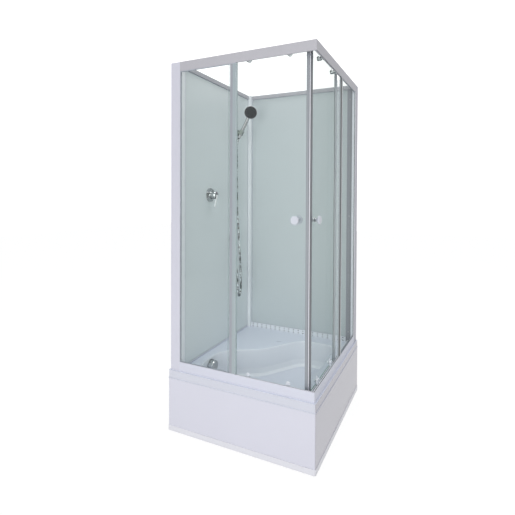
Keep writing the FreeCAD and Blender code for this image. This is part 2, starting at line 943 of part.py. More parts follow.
def left_panel():
    """The left wall's glass, drilled for the mixer's neck and the wall outlet."""
    panel = wall_panel(deck_z + sill_height - sill_slot_depth)
    start = -wall_plane - wall_glass - overrun
    length = wall_glass + 2 * overrun
    for y, z, radius in (
        (mixer_y, mixer_height, valve_neck_radius + running_gap),
        (outlet_y, outlet_height, outlet_radius + running_gap),
    ):
        panel = panel.cut(rod(V(start, y, z), V(1, 0, 0), radius, length))
    return panel


def back_panel():
    """The back wall's glass."""
    return across(wall_panel(deck_z + back_rail_height - wall_slot_depth))


def mitred(shape):
    """A rail of the front side, cut along the corner's diagonal."""
    size = 2 * tray_side
    corners = [V(-size, size, 0), V(size, -size, 0), V(size, size, 0), V(-size, size, 0)]
    tool = Part.Face(Part.makePolygon(corners)).extrude(V(0, 0, 2 * top_z))
    return shape.cut(tool)


def rail_block(d0, d1, z0, z1):
    """A block along the front rail, between two depths behind its face."""
    return box(rail_start, frame, -frame + d0, -frame + d1, z0, z1)


def rail_void(d0, d1, z0, z1):
    """Room cut through a front rail from end to end."""
    return box(rail_start - overrun, frame + overrun, -frame + d0, -frame + d1, z0, z1)


def top_rail():
    """Front top rail: fascia, glazing pocket and the lip that the wheels run on."""
    t = fascia_thickness
    low = top_rail_bottom
    pocket_top = low + pocket_depth_top
    rail = rail_block(0, top_rail_depth, low, top_z)
    cuts = [
        rail_void(t, rib_face, low - overrun, pocket_top),
        rail_void(t, rib_face, pocket_top + t, top_z - t),
        rail_void(bay_face, top_rail_depth - rib_thickness, lip_top, top_z - t),
        rail_void(lip_end, top_rail_depth + overrun, low - overrun, top_z - skirt_height),
        rail_void(rib_face, lip_end + overrun, low - overrun, low + track_lip_rise),
    ]
    for cut in cuts:
        rail = rail.cut(cut)
    return mitred(rail)


def bottom_rail():
    """Front bottom rail: fascia, glazing pocket and the groove for the door guides."""
    t = fascia_thickness
    pocket = bottom_rail_top - pocket_depth_bottom
    rail = fused(
        [
            rail_block(0, bay_face, deck_z, bottom_rail_top),
            rail_block(0, bottom_rail_depth, deck_z, inner_sill_top),
        ]
    )
    groove = guide_groove_front()
    cuts = [
        rail_void(t, rib_face, pocket, bottom_rail_top + overrun),
        rail_void(t, rib_face, deck_z + t, pocket - t),
        rail_void(bay_face, groove - t, deck_z + t, inner_sill_top - t),
        rail_void(groove, groove + guide_groove_width, inner_sill_top - guide_groove_depth, bottom_rail_top),
    ]
    for cut in cuts:
        rail = rail.cut(cut)
    return mitred(rail)


def guide_groove_front():
    """Depth at which the guides' groove starts, centred on the guides' tongues."""
    centre = door_face - guide_thickness / 2
    return centre - guide_groove_width / 2


def corner_brackets():
    """Angle plates that tie the rails together at the corner, top and bottom."""
    t = corner_bracket_thickness
    arm = corner_bracket_arm
    outer = frame - bay_face - fascia_thickness
    inner = outer - corner_bracket_width
    plates = []
    for z in (top_z - fascia_thickness - t, deck_z + fascia_thickness):
        front = box(outer - arm, outer, -outer, -inner, z, z + t)
        plates.append(fused([front, across(front)]))
    return plates


def fixed_glass():
    """Clear pane of the front's fixed half, from the post to the overlap."""
    x0 = rail_start - glazing_slot_depth
    z0 = bottom_rail_top - pocket_depth_bottom
    z1 = top_rail_bottom + pocket_depth_top
    y0 = -frame + fixed_face
    return box(x0, fixed_end, y0, y0 + clear_glass, z0, z1)


def pane_seal(x0, x1, edge, face, fin, z0, z1):
    """Seal along a pane's upright edge: two lips over the glass and a fin."""
    y0 = -frame + face
    fin_top = min(z1, top_rail_bottom - running_gap)
    strip = box(x0, x1, y0 - seal_lip, y0 + clear_glass + seal_lip, z0, z1)
    side = x0 if edge > (x0 + x1) / 2 else x1
    strip = strip.cut(box(side, edge, y0, y0 + clear_glass, z0 - overrun, z1 + overrun))
    fin_x = edge
    fin_y = y0 + clear_glass + seal_lip if fin > 0 else y0 - seal_lip
    half_fin = seal_lip / 2
    inside = fin_y - half_fin if fin > 0 else fin_y + half_fin
    blade = box(fin_x - half_fin, fin_x + half_fin, inside, fin_y + fin, z0, fin_top)
    return fused([strip, blade])


def fixed_seal():
    """Seal on the fixed pane's free edge."""
    edge = fixed_end
    start = edge - fixed_seal_width
    z0 = bottom_rail_top + running_gap
    z1 = top_rail_bottom - running_gap
    return pane_seal(start, edge + seal_cap, edge, fixed_face, fixed_seal_fin, z0, z1)


def door_glass():
    """Clear pane of the front door, drilled for rollers, guides and knob."""
    y0 = -frame + door_face
    pane = box(door_trail, door_lead, y0, y0 + clear_glass, glass_bottom, glass_top)
    holes = []
    for setback in (roller_near, roller_far):
        holes.append((frame - setback, carrier_z, carrier_bolt_radius))
        holes.append((frame - setback, guide_z, guide_bolt_radius))
    holes.append((knob_x, door_knob_height, door_knob_stem_radius))
    for x, z, radius in holes:
        pane = pane.cut(rod(V(x, y0 - overrun, z), V(0, 1, 0), radius, clear_glass + 2 * overrun))
    return pane


def magnet_seal():
    """Magnetic strip on the front door's leading edge, mitred to meet the other door."""
    y0 = -frame + door_face - seal_lip
    y1 = y0 + clear_glass + 2 * seal_lip
    z0 = glass_bottom
    z1 = glass_top
    start = door_lead - magnet_lip_length
    reach = magnet_gap * math.sqrt(2)
    plan = [V(start, y0, z0), V(-y0 - reach, y0, z0), V(-y1 - reach, y1, z0), V(start, y1, z0)]
    strip = Part.Face(Part.makePolygon(plan + [plan[0]])).extrude(V(0, 0, z1 - z0))
    slot = box(
        start - overrun, door_lead, y0 + seal_lip, y1 - seal_lip, z0 - overrun, z1 + overrun
    )
    return strip.cut(slot)


def door_seals():
    """The front door's two seals: magnetic at the corner, finned at the overlap."""
    fin = door_face - seal_lip - bay_face - door_fin_gap
    start = door_trail - seal_cap
    end = door_trail + rear_seal_width
    rear = pane_seal(start, end, door_trail, door_face, -fin, glass_bottom, glass_top)
    return [magnet_seal(), rear]


def roller_carrier(setback):
    """Carrier on the door's glass: plate, neck, boss, bolt, inner cap and wheel axle."""
    x = frame - setback
    inward = V(0, 1, 0)
    y = -frame + carrier_face
    reach = carrier_width / 2
    plate = box(x - reach, x + reach, y, y + carrier_thickness, wheel_z - reach, carrier_z + reach)
    plate = rounded_edges(plate, reach - running_gap, lambda edge: along_y(edge))
    start = V(x, y, carrier_z)
    bolt = rod(start, inward, carrier_bolt_radius, door_back - carrier_face + overrun)
    neck = rod(start, inward, carrier_neck_radius, door_face - carrier_face)
    boss_base = V(x, -frame + door_face - carrier_boss_length, carrier_z)
    r = carrier_boss_radius
    boss = rod(boss_base, inward, r, carrier_boss_length)
    rim_share, face_share = carrier_cap_shares
    length = carrier_cap_length
    cap_base = V(x, -frame + door_back, carrier_z)
    cap = turned([(0, r), (rim_share * length, r), (length, face_share * r)], cap_base, inward)
    head_y = -frame + wheel_face - running_gap - axle_head_length
    axle_length = carrier_face - wheel_face + running_gap + axle_head_length
    axle = rod(V(x, head_y, wheel_z), inward, axle_radius, axle_length + overrun)
    head = rod(V(x, head_y, wheel_z), inward, axle_head_radius, axle_head_length)
    return fused([plate, bolt, neck, boss, cap, axle, head])


def along_y(edge):
    """Whether an edge is straight and runs front to back."""
    ends = [vertex.Point for vertex in edge.Vertexes]
    return len(ends) == 2 and (ends[1] - ends[0]).cross(V(0, 1, 0)).Length < bore_gap


def roller_wheel(setback):
    """Plastic wheel of a roller, running on the rail's lip."""
    hub = V(frame - setback, -frame + wheel_face, wheel_z)
    wheel = rod(hub, V(0, 1, 0), wheel_radius, wheel_width)
    bore = rod(hub - V(0, overrun, 0), V(0, 1, 0), axle_radius + bore_gap, wheel_width + 2 * overrun)
    return wheel.cut(bore)


def guide_clip(setback):
    """Guide at the door's foot: body outside, button inside, tongue in the rail."""
    x = frame - setback
    y = -frame + door_face
    reach = guide_width / 2
    body = box(x - reach, x + reach, y - guide_thickness, y, glass_bottom, glass_bottom + guide_rise)
    body = rounded_edges(body, guide_round, lambda edge: along_y(edge))
    middle = y - guide_thickness / 2
    tongue_reach = guide_tongue_share * reach
    tongue = box(
        x - tongue_reach,
        x + tongue_reach,
        middle - guide_tongue / 2,
        middle + guide_tongue / 2,
        glass_bottom - guide_tongue_drop,
        glass_bottom + overrun,
    )
    inward = V(0, 1, 0)
    start = V(x, y - overrun, guide_z)
    bolt = rod(start, inward, guide_bolt_radius, clear_glass + 2 * overrun)
    inside = V(x, -frame + door_back, guide_z)
    button = rod(inside, inward, guide_button_radius, guide_button_length)
    return fused([body, tongue, bolt, button])


def door_knob():
    """Knob of the front door: two flared discs on one stem through the glass."""
    solids = []
    stem_start = -frame + door_face - door_knob_stem
    length = 2 * door_knob_stem + clear_glass
    stem = rod(V(knob_x, stem_start, door_knob_height), V(0, 1, 0), door_knob_stem_radius, length)
    for face, way in ((door_face, V(0, -1, 0)), (door_back, V(0, 1, 0))):
        on_glass = V(knob_x, -frame + face, door_knob_height)
        stem = stem.fuse(rod(on_glass, way, door_knob_collar_radius, door_knob_collar))
        r = door_knob_radius
        step = door_knob_round
        rim = door_knob_flare + door_knob_rim
        profile = [(0, door_knob_stem_radius), (door_knob_flare, r), (rim, r), (rim + step, r - step)]
        solids.append(turned(profile, on_glass + way * door_knob_stem, way))
    return [stem.removeSplitter()] + solids


def mixer_valve():
    """Brass body behind the wall with two inlets, an outlet and a neck."""
    out = V(1, 0, 0)
    wall_back = -wall_plane - wall_glass
    centre = V(wall_back - valve_length / 2, mixer_y, mixer_height)
    start = V(wall_back - valve_length, mixer_y, mixer_height)
    body = rod(start, out, valve_radius, valve_length)
    neck = rod(V(wall_back - overrun, mixer_y, mixer_height), out, valve_neck_radius, valve_neck_length + overrun)
    pieces = [body, neck]
    foot = centre - V(0, 0, inlet_bar_reach)
    pieces.append(rod(foot, V(0, 0, 1), inlet_bar_radius, 2 * inlet_bar_reach))
    for rise in (inlet_offset, -inlet_offset):
        inlet = centre + V(0, 0, rise)
        pieces.append(rod(inlet, -out, inlet_collar_radius, inlet_collar_reach))
        pieces.append(rod(inlet, -out, inlet_radius, inlet_reach))
    pieces.append(rod(centre, V(0, 1, 0), feed_boss_radius, valve_radius + feed_radius))
    valve = fused(pieces)
    mouth = V(wall_back + valve_neck_length + overrun, mixer_y, mixer_height)
    bore = mixer_stem_radius + bore_gap
    return valve.cut(rod(mouth, V(-1, 0, 0), bore, mixer_stem_length + 2 * overrun))


def mixer_escutcheon():
    """Round chrome plate and sleeve over the valve's neck."""
    out = V(1, 0, 0)
    face = V(-wall_plane, mixer_y, mixer_height)
    t = mixer_plate_thickness
    profile = [
        (0, mixer_plate_radius),
        (t, mixer_plate_radius),
        (mixer_plate_dome, mixer_sleeve_radius),
        (mixer_plate_dome + mixer_sleeve_length, mixer_sleeve_radius),
    ]
    plate = turned(profile, face, out)
    length = mixer_plate_dome + mixer_sleeve_length + 2 * overrun
    return plate.cut(rod(face - out * overrun, out, valve_neck_radius, length))


def mixer_cap_face():
    """How far the mixer's turning cap starts from the wall's face."""
    return mixer_plate_dome + mixer_sleeve_length + running_gap


def leaned(shape):
    """The mixer's cap or lever, turned about the valve's axis to its rest angle."""
    copy = shape.copy()
    copy.rotate(V(-wall_plane, mixer_y, mixer_height), V(1, 0, 0), -lever_lean)
    return copy


def lever_pivot():
    """Centre of the lever's lift, inside the cap."""
    x = -wall_plane + mixer_cap_face() + mixer_cap_length / 2
    return V(x, mixer_y, mixer_height)


def mixer_cap():
    """Turning cap that carries the lever, with its stem into the valve."""
    out = V(1, 0, 0)
    base = V(-wall_plane + mixer_cap_face(), mixer_y, mixer_height)
    r = mixer_cap_radius
    step = mixer_cap_round
    length = mixer_cap_length
    bevel = round_share * step
    profile = [(0, r), (length - step, r), (length - bevel, r - bevel), (length, r - step)]
    cap = turned(profile, base, out)
    pivot = lever_pivot()
    side = lever_width / 2 + lever_slot_gap
    room = lever_root_radius + lever_slot_gap
    slot = box(
        pivot.x - room,
        base.x + length + overrun,
        mixer_y - side,
        mixer_y + side,
        mixer_height - r - overrun,
        mixer_height + room,
    )
    stem_start = V(base.x + overrun, mixer_y, mixer_height)
    stem = rod(stem_start, V(-1, 0, 0), mixer_stem_radius, mixer_stem_length + overrun)
    cap = fused([cap.cut(slot), stem])
    pin = rod(pivot - V(0, side + overrun, 0), V(0, 1, 0), axle_radius, 2 * side + 2 * overrun)
    return leaned(fused([cap, pin]))


def mixer_lever():
    """Lever on the cap's pin: a root, a step outwards and a long blade down."""
    pivot = lever_pivot()
    side = lever_width / 2
    root = rod(pivot - V(0, side, 0), V(0, 1, 0), lever_root_radius, lever_width)
    x1 = pivot.x + lever_step + lever_thickness
    neck = box(
        pivot.x, x1, mixer_y - side, mixer_y + side, mixer_height - lever_root_radius, mixer_height
    )
    blade = box(
        x1 - lever_thickness, x1, mixer_y - side, mixer_y + side, mixer_height - lever_reach, mixer_height
    )
    lever = fused([root, neck, blade])
    tip = mixer_height - lever_reach
    at_tip = lambda edge: along_x(edge) and edge.CenterOfMass.z < tip + overrun
    lever = rounded_edges(lever, lever_tip_share * side, at_tip)
    bore = rod(pivot - V(0, side + overrun, 0), V(0, 1, 0), axle_radius + bore_gap, lever_width + 2 * overrun)
    return leaned(lever.cut(bore))


def along_x(edge):
    """Whether an edge is straight and runs left to right."""
    ends = [vertex.Point for vertex in edge.Vertexes]
    return len(ends) == 2 and (ends[1] - ends[0]).cross(V(1, 0, 0)).Length < bore_gap


def wall_outlet():
    """Elbow on the wall with its plate, and the hose's swivel nut under it."""
    out = V(1, 0, 0)
    down = V(0, 0, -1)
    face = V(-wall_plane, outlet_y, outlet_height)
    bend = face + out * outlet_standoff
    plate = rod(face, out, outlet_plate_radius, outlet_plate_thickness)
    stub = rod(face - out * (wall_glass + outlet_stub), out, outlet_radius, wall_glass + outlet_stub + overrun)
    arm = rod(face, out, outlet_radius, outlet_standoff)
    ball = Part.makeSphere(outlet_radius, bend)
    leg = rod(bend, down, outlet_radius - overrun / 2, outlet_drop)
    elbow = fused([plate, stub, arm, ball, leg])
    nut = rod(bend + down * outlet_drop, down, hose_nut_radius, hose_nut_length)
    return [elbow, nut]


def feed_pipe():
    """Pipe behind the wall from the mixer's outlet to the wall outlet."""
    x = -wall_plane - wall_glass - valve_length / 2
    start = V(x, mixer_y + valve_radius + feed_radius, mixer_height)
    route = [start, V(x, outlet_y, mixer_height), V(x, outlet_y, outlet_height)]
    pipe = bent_pipe(route, feed_radius, feed_bend)
    start = V(-wall_plane - wall_glass - outlet_stub, outlet_y, outlet_height)
    stub = rod(start, V(-1, 0, 0), outlet_radius, start.x - x + feed_radius)
    return fused([pipe, stub])


def holder_centre():
    """Centre of the swivelling cup that holds the handset."""
    x = -wall_plane + holder_block_depth + cup_standoff
    return V(x, holder_y, holder_height)


def handset_axis():
    """Direction of the handset's handle, from its nut up to its head."""
    lean = math.radians(handset_lean)
    turn = math.radians(handset_turn)
    flat = math.sin(lean)
    return V(flat * math.cos(turn), flat * math.sin(turn), math.cos(lean))


def holder_bracket():
    """Block on the wall with a bore for the cup's pin."""
    x0 = -wall_plane
    w = holder_block_width / 2
    h = holder_block_height / 2
    z = holder_height
    block = box(x0, x0 + holder_block_depth, holder_y - w, holder_y + w, z - h, z + h)
    block = rounded_edges(block, holder_round, lambda edge: along_x(edge))
    mouth = V(x0 + holder_block_depth + overrun, holder_y, z)
    return block.cut(rod(mouth, V(-1, 0, 0), cup_pin_radius + bore_gap, cup_pin_length + 2 * overrun))


def handle_profile(start, end, gap=0):
    """Stretch of the handset's handle between two stops, grown by a gap."""
    stops = handset_profile_stops
    radii = handset_profile_radii
    inside = [(s, r) for s, r in zip(stops, radii) if start < s < end]
    ends = [(s, handle_radius(s)) for s in (start, end)]
    return [(s, r + gap) for s, r in [ends[0]] + inside + [ends[1]]]


def handle_radius(stop):
    """Radius of the handle at a distance from the cup's centre."""
    stops = handset_profile_stops
    radii = handset_profile_radii
    for i in range(len(stops) - 1):
        if stop <= stops[i + 1]:
            share = (stop - stops[i]) / (stops[i + 1] - stops[i])
            return radii[i] + share * (radii[i + 1] - radii[i])
    return radii[-1]


def holder_cup():
    """Cup with an open mouth on its far side, and the pin it swivels on."""
    centre = holder_centre()
    axis = handset_axis()
    h = cup_half_height
    cup = rod(centre - axis * h, axis, cup_radius, 2 * h)
    arm_length = cup_standoff - running_gap
    arm = rod(centre, V(-1, 0, 0), cup_arm_radius, arm_length)
    pin = rod(centre, V(-1, 0, 0), cup_pin_radius, cup_standoff + cup_pin_length)
    inside = turned(handle_profile(-h - overrun, h + overrun, bore_gap), centre, axis)
    mouth_way = (V(1, 0, 0) - axis * axis.x).normalize()
    side = axis.cross(mouth_way)
    mouth = Part.makeBox(cup_radius + overrun, cup_mouth, 2 * h + 2 * overrun)
    turn = FreeCAD.Rotation(mouth_way, side, axis, "ZXY")
    corner = centre - side * (cup_mouth / 2) - axis * (h + overrun)
    mouth.Placement = FreeCAD.Placement(corner, turn)
    return fused([cup, arm, pin]).cut(inside).cut(mouth)


def head_normal():
    """Direction that the spray face looks in."""
    return V(*head_facing_shares).normalize()


def head_centre():
    """Centre of the handset's head."""
    offset = head_normal() * head_standoff
    return holder_centre() + handset_axis() * head_distance + offset


def handset_body():
    """Handle and round head of the hand shower, recessed for the spray face."""
    centre = holder_centre()
    axis = handset_axis()
    n = head_normal()
    stops = handset_profile_stops
    handle = turned(handle_profile(stops[0], stops[-1]), centre, axis)
    middle = head_centre()
    d = head_depth
    r = head_radius
    profile = [(-d, head_back_radius)]
    profile += [(along * d, out * r) for along, out in head_profile_shares]
    head = turned(profile, middle, n)
    floor = head_front_share * d - spray_recess
    recess = rod(middle + n * floor, n, spray_radius, spray_recess + overrun)
    return fused([handle, head]).cut(recess)


def spray_face():
    """Dark spray plate seated in the head's recess."""
    n = head_normal()
    base = head_centre() + n * (head_front_share * head_depth - spray_recess)
    r = spray_radius
    t = spray_thickness
    return turned([(0, r), (spray_rim_share * t, r), (t, spray_face_share * r)], base, n)


def cone_nut():
    """Conical nut that joins the hose to the handset."""
    axis = handset_axis()
    start = holder_centre() + axis * (handset_profile_stops[0] - cone_nut_length)
    lower, upper = cone_nut_radii
    return turned([(0, lower), (cone_nut_length, upper)], start, axis)


def route_pieces(points):
    """Straight runs and tangent arcs of a hose's route, with each arc's radius."""
    pieces = []
    radii = []
    start = points[0]
    for i in range(1, len(points) - 1):
        before = points[i] - points[i - 1]
        after = points[i + 1] - points[i]
        reach = hose_arc_share * min(before.Length, after.Length)
        before.normalize()
        after.normalize()
        half_turn = before.getAngle(after) / 2
        radius = reach / math.tan(half_turn)
        enter = points[i] - before * reach
        leave = points[i] + after * reach
        bisector = (after - before).normalize()
        centre = points[i] + bisector * (radius / math.cos(half_turn))
        pieces.append(("run", start, enter))
        pieces.append(("arc", centre, enter, leave, radius, 2 * half_turn))
        radii.append(radius)
        start = leave
    pieces.append(("run", start, points[-1]))
    return pieces, radii


def route_length(pieces):
    """Length of a route of runs and arcs."""
    total = 0
    for piece in pieces:
        if piece[0] == "run":
            total += (piece[2] - piece[1]).Length
        else:
            total += piece[4] * piece[5]
    return total


def route_at(pieces, distance):
    """Point and direction of a route at a distance from its start."""
    for piece in pieces:
        if piece[0] == "run":
            span = (piece[2] - piece[1]).Length
            way = (piece[2] - piece[1]).normalize()
            if distance <= span or piece is pieces[-1]:
                return piece[1] + way * distance, way
        else:
            centre, enter, leave, radius, angle = piece[1:]
            span = radius * angle
            if distance <= span:
                spoke = (enter - centre).normalize()
                normal = (enter - centre).cross(leave - centre).normalize()
                tangent = normal.cross(spoke)
                a = distance / radius
                point = centre + (spoke * math.cos(a) + tangent * math.sin(a)) * radius
                return point, tangent * math.cos(a) - spoke * math.sin(a)
        distance -= span
    return None


def steady_circle(point, way, radius, steady):
    """A circle square to a route, whose start stays on one side of it."""
    circle = Part.Circle(point, way, radius)
    circle.XAxis = (steady - way * steady.dot(way)).normalize()
    return Part.Wire([circle.toShape()])


def hose_route():
    """The hose's corner points, straight out of the handset's nut and the outlet's nut."""
    axis = handset_axis()
    top = holder_centre() + axis * (handset_profile_stops[0] - cone_nut_length)
    bend = V(-wall_plane + outlet_standoff, outlet_y, outlet_height)
    low = bend - V(0, 0, outlet_drop + hose_nut_length)
    points = [top, top - axis * hose_end_run]
    points += [V(*point) for point in hose_bends]
    return points + [low - V(0, 0, hose_end_run), low]


def ruled_skin(pieces, marks):
    """Faces of a ruled loft through circles along a route, four gaps at a time."""
    steady = V(1, 0, 0)
    wires = []
    for distance, radius in marks:
        point, way = route_at(pieces, distance)
        wires.append(steady_circle(point, way, radius, steady))
    faces = []
    for k in range(0, len(wires) - 1, 4):
        faces.extend(Part.makeLoft(wires[k : k + 5], False, True).Faces)
    return faces, wires


def shower_hose():
    """Ribbed steel hose with its bore, made of ruled rings along its route."""
    pieces, radii = route_pieces(hose_route())
    total = route_length(pieces)
    end = 2 * hose_radius
    pitch = (total - 2 * end) / hose_ribs
    marks = [(0, hose_valley_radius)]
    for k in range(hose_ribs):
        for share, ridge in zip(hose_rib_shares, (False, True, True, False)):
            radius = hose_radius if ridge else hose_valley_radius
            marks.append((end + (k + share) * pitch, radius))
    marks.append((total, hose_valley_radius))
    bore_marks = [marks[0]] + marks[1:-1:4] + [marks[-1]]
    outer_faces, outer = ruled_skin(pieces, marks)
    inner_faces, inner = ruled_skin(pieces, [(mark, hose_bore_radius) for mark, _ in bore_marks])
    ends = [Part.Face(outer[k]).cut(Part.Face(inner[k])).Faces[0] for k in (0, -1)]
    hose = Part.Solid(Part.Shell(outer_faces + inner_faces + ends))
    if hose.Volume < 0:
        hose.reverse()
    mean = (hose_radius**2 + hose_valley_radius**2 + hose_radius * hose_valley_radius) / 3
    expected = math.pi * (mean - hose_bore_radius**2) * total
    print("hose length", round(total, 1), "pitch", round(pitch, 2))
    print("hose bend radii", [round(radius) for radius in radii])
    print("hose volume", round(hose.Volume), "section times length", round(expected))
    print("hose valid", hose.isValid(), hose.isClosed())
    return hose


def main():
    os.makedirs("parts", exist_ok=True)

    save("tray_deck", [tray_deck()])
    save("tray_basin", [tray_basin()])
    save("apron_panel", [apron_panel()])
    save("apron_plinth", [apron_plinth()])
    save("frame_perimeter_beams", perimeter_beams())
    save("frame_cross_beams", cross_beams())
    save("frame_uprights", frame_uprights())
    save("foot_pads", foot_pads())
    save("foot_studs_and_nuts", foot_studs() + foot_nuts())
    save("apron_clips", apron_clips())
    save("drain_flange", [drain_flange()])
    save("drain_plug", [drain_plug()])
    save("drain_trap", [drain_trap()])
    save("overflow_pipe", [overflow_pipe()])
    save("overflow_rosette", [overflow_rosette()])
    save("overflow_knob", [overflow_knob()])

    save("post_front_left", [front_post()])
    save("post_rear_right", [across(front_post())])
    save("post_rear_corner", [corner_post()])
    edge = wall_edge_profile()
    save("wall_edge_profiles", [edge, across(edge)])
    save("profile_screws", profile_screws())
    rail = wall_top_rail()
    save("wall_top_rails", [rail, across(rail)])
    save("wall_bottom_rail_left", [left_sill()])
    save("wall_bottom_rail_back", [back_sill()])
    save("wall_panel_left", [left_panel()])
    save("wall_panel_back", [back_panel()])

    save("corner_brackets", corner_brackets())
    seal = fixed_seal()
    save("fixed_glass_seals", [seal, across(seal)])
    for side, place in (("front", lambda shape: shape), ("right", across)):
        save("top_rail_" + side, [place(top_rail())])
        save("bottom_rail_" + side, [place(bottom_rail())])
        save("fixed_glass_" + side, [place(fixed_glass())])
        save("door_glass_" + side, [place(door_glass())])
        save("door_seals_" + side, [place(strip) for strip in door_seals()])
        save("door_knob_" + side, [place(piece) for piece in door_knob()])
        setbacks = (("near", roller_near), ("far", roller_far))
        save("roller_carriers_" + side, [place(roller_carrier(s)) for _, s in setbacks])
        save("guide_clips_" + side, [place(guide_clip(s)) for _, s in setbacks])
        for name, setback in setbacks:
            save("wheel_" + side + "_" + name, [place(roller_wheel(setback))])

    save("mixer_valve", [mixer_valve()])
    save("mixer_escutcheon", [mixer_escutcheon()])
    save("mixer_cap", [mixer_cap()])
    save("mixer_lever", [mixer_lever()])
    save("feed_pipe", [feed_pipe()])
    save("wall_outlet", wall_outlet())
    save("holder_bracket", [holder_bracket()])
    save("holder_cup", [holder_cup()])
    save("handset_body", [handset_body()])
    save("spray_face", [spray_face()])
    save("cone_nut", [cone_nut()])
    save("shower_hose", [shower_hose()])


main()
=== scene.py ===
"""Visual dressing of a square shower cabin with a deep tray and two sliding corner doors.

Everything is in metres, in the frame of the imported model: X along the front, Y towards
the back wall and Z up from the floor.
"""
import math

import bmesh
import bpy
from mathutils import Matrix, Vector


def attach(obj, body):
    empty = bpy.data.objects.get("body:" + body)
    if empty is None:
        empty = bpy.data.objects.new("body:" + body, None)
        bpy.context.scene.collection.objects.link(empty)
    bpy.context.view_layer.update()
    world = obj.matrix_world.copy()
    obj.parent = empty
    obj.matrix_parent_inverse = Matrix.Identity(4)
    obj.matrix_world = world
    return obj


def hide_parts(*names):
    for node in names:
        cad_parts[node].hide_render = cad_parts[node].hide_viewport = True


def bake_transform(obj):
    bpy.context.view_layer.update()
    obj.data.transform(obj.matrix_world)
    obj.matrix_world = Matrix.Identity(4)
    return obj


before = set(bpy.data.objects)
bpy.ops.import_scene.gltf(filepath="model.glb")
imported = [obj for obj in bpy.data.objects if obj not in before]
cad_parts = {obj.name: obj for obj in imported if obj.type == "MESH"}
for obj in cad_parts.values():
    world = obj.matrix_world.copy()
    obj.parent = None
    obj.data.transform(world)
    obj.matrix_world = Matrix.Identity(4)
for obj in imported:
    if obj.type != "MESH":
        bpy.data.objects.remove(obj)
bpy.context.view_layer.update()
scene = bpy.context.scene


# Camera.
# A wide lens at chest height stands about 1.8 metres in front of the entry corner. Its
# frame is shifted so that upright lines stay upright.
photo_size = 515
focal_pixels = 376.0
principal_pixels = (285.5, 200.1)
film_width = 36.0
view_depth = 60
camera_place = Vector((1.029, -2.153, 1.365))
camera_yaw, camera_pitch, camera_roll = (math.radians(a) for a in (23.62, -0.86, 0.31))

look = Vector(
    (
        -math.sin(camera_yaw) * math.cos(camera_pitch),
        math.cos(camera_yaw) * math.cos(camera_pitch),
        math.sin(camera_pitch),
    )
)
level_right = Vector((math.cos(camera_yaw), math.sin(camera_yaw), 0))
level_up = level_right.cross(look)
camera_right = level_right * math.cos(camera_roll) + level_up * math.sin(camera_roll)
camera_up = level_up * math.cos(camera_roll) - level_right * math.sin(camera_roll)
lens = bpy.data.cameras.new("camera")
lens.sensor_width = film_width
lens.lens = lens.sensor_width * focal_pixels / photo_size
lens.shift_x = (photo_size / 2 - principal_pixels[0]) / photo_size
lens.shift_y = (principal_pixels[1] - photo_size / 2) / photo_size
lens.clip_end = view_depth
camera = bpy.data.objects.new("camera", lens)
turn = Matrix((camera_right, camera_up, -look)).transposed()
camera.matrix_world = Matrix.Translation(camera_place) @ turn.to_4x4()
scene.collection.objects.link(camera)
scene.camera = camera


# Studio.
# The cabin stands on a white floor in a soft surround, with one large lamp before its
# front and one above its open top. Two dark cards beside it show only as reflections.
surround_colour = (0.625, 0.635, 0.65)
background_strength = 1.35
floor_own_light = 0.86
floor_glow = 1.08
floor_half = 12.0
floor_level = -0.0005
floor_matt = (0.8, 0.8, 0.8)
card_foot = 0.2
card_black = (0.01, 0.01, 0.012)
white = (1.0, 1.0, 1.0)


class Signal:
    """A socket of a finish that takes part in sums like a number."""

    def __init__(self, finish, socket):
        self.finish = finish
        self.socket = socket

    def sum(self, operation, *values, **settings):
        sockets = dict(enumerate(values))
        return self.finish.node("Math", sockets, operation=operation, **settings)

    def __add__(self, other):
        return self.sum("ADD", self, other)

    def __radd__(self, other):
        return self.sum("ADD", other, self)

    def __sub__(self, other):
        return self.sum("SUBTRACT", self, other)

    def __rsub__(self, other):
        return self.sum("SUBTRACT", other, self)

    def __mul__(self, other):
        return self.sum("MULTIPLY", self, other)

    def __rmul__(self, other):
        return self.sum("MULTIPLY", other, self)

    def __pow__(self, other):
        return self.sum("POWER", self, other)

    def __gt__(self, other):
        return self.sum("GREATER_THAN", self, other)

    def __lt__(self, other):
        return self.sum("LESS_THAN", self, other)

    def __abs__(self):
        return self.sum("ABSOLUTE", self)

    def wave(self):
        return self.sum("SINE", self)

    def clamped(self):
        return self.sum("ADD", self, 0.0, use_clamp=True)


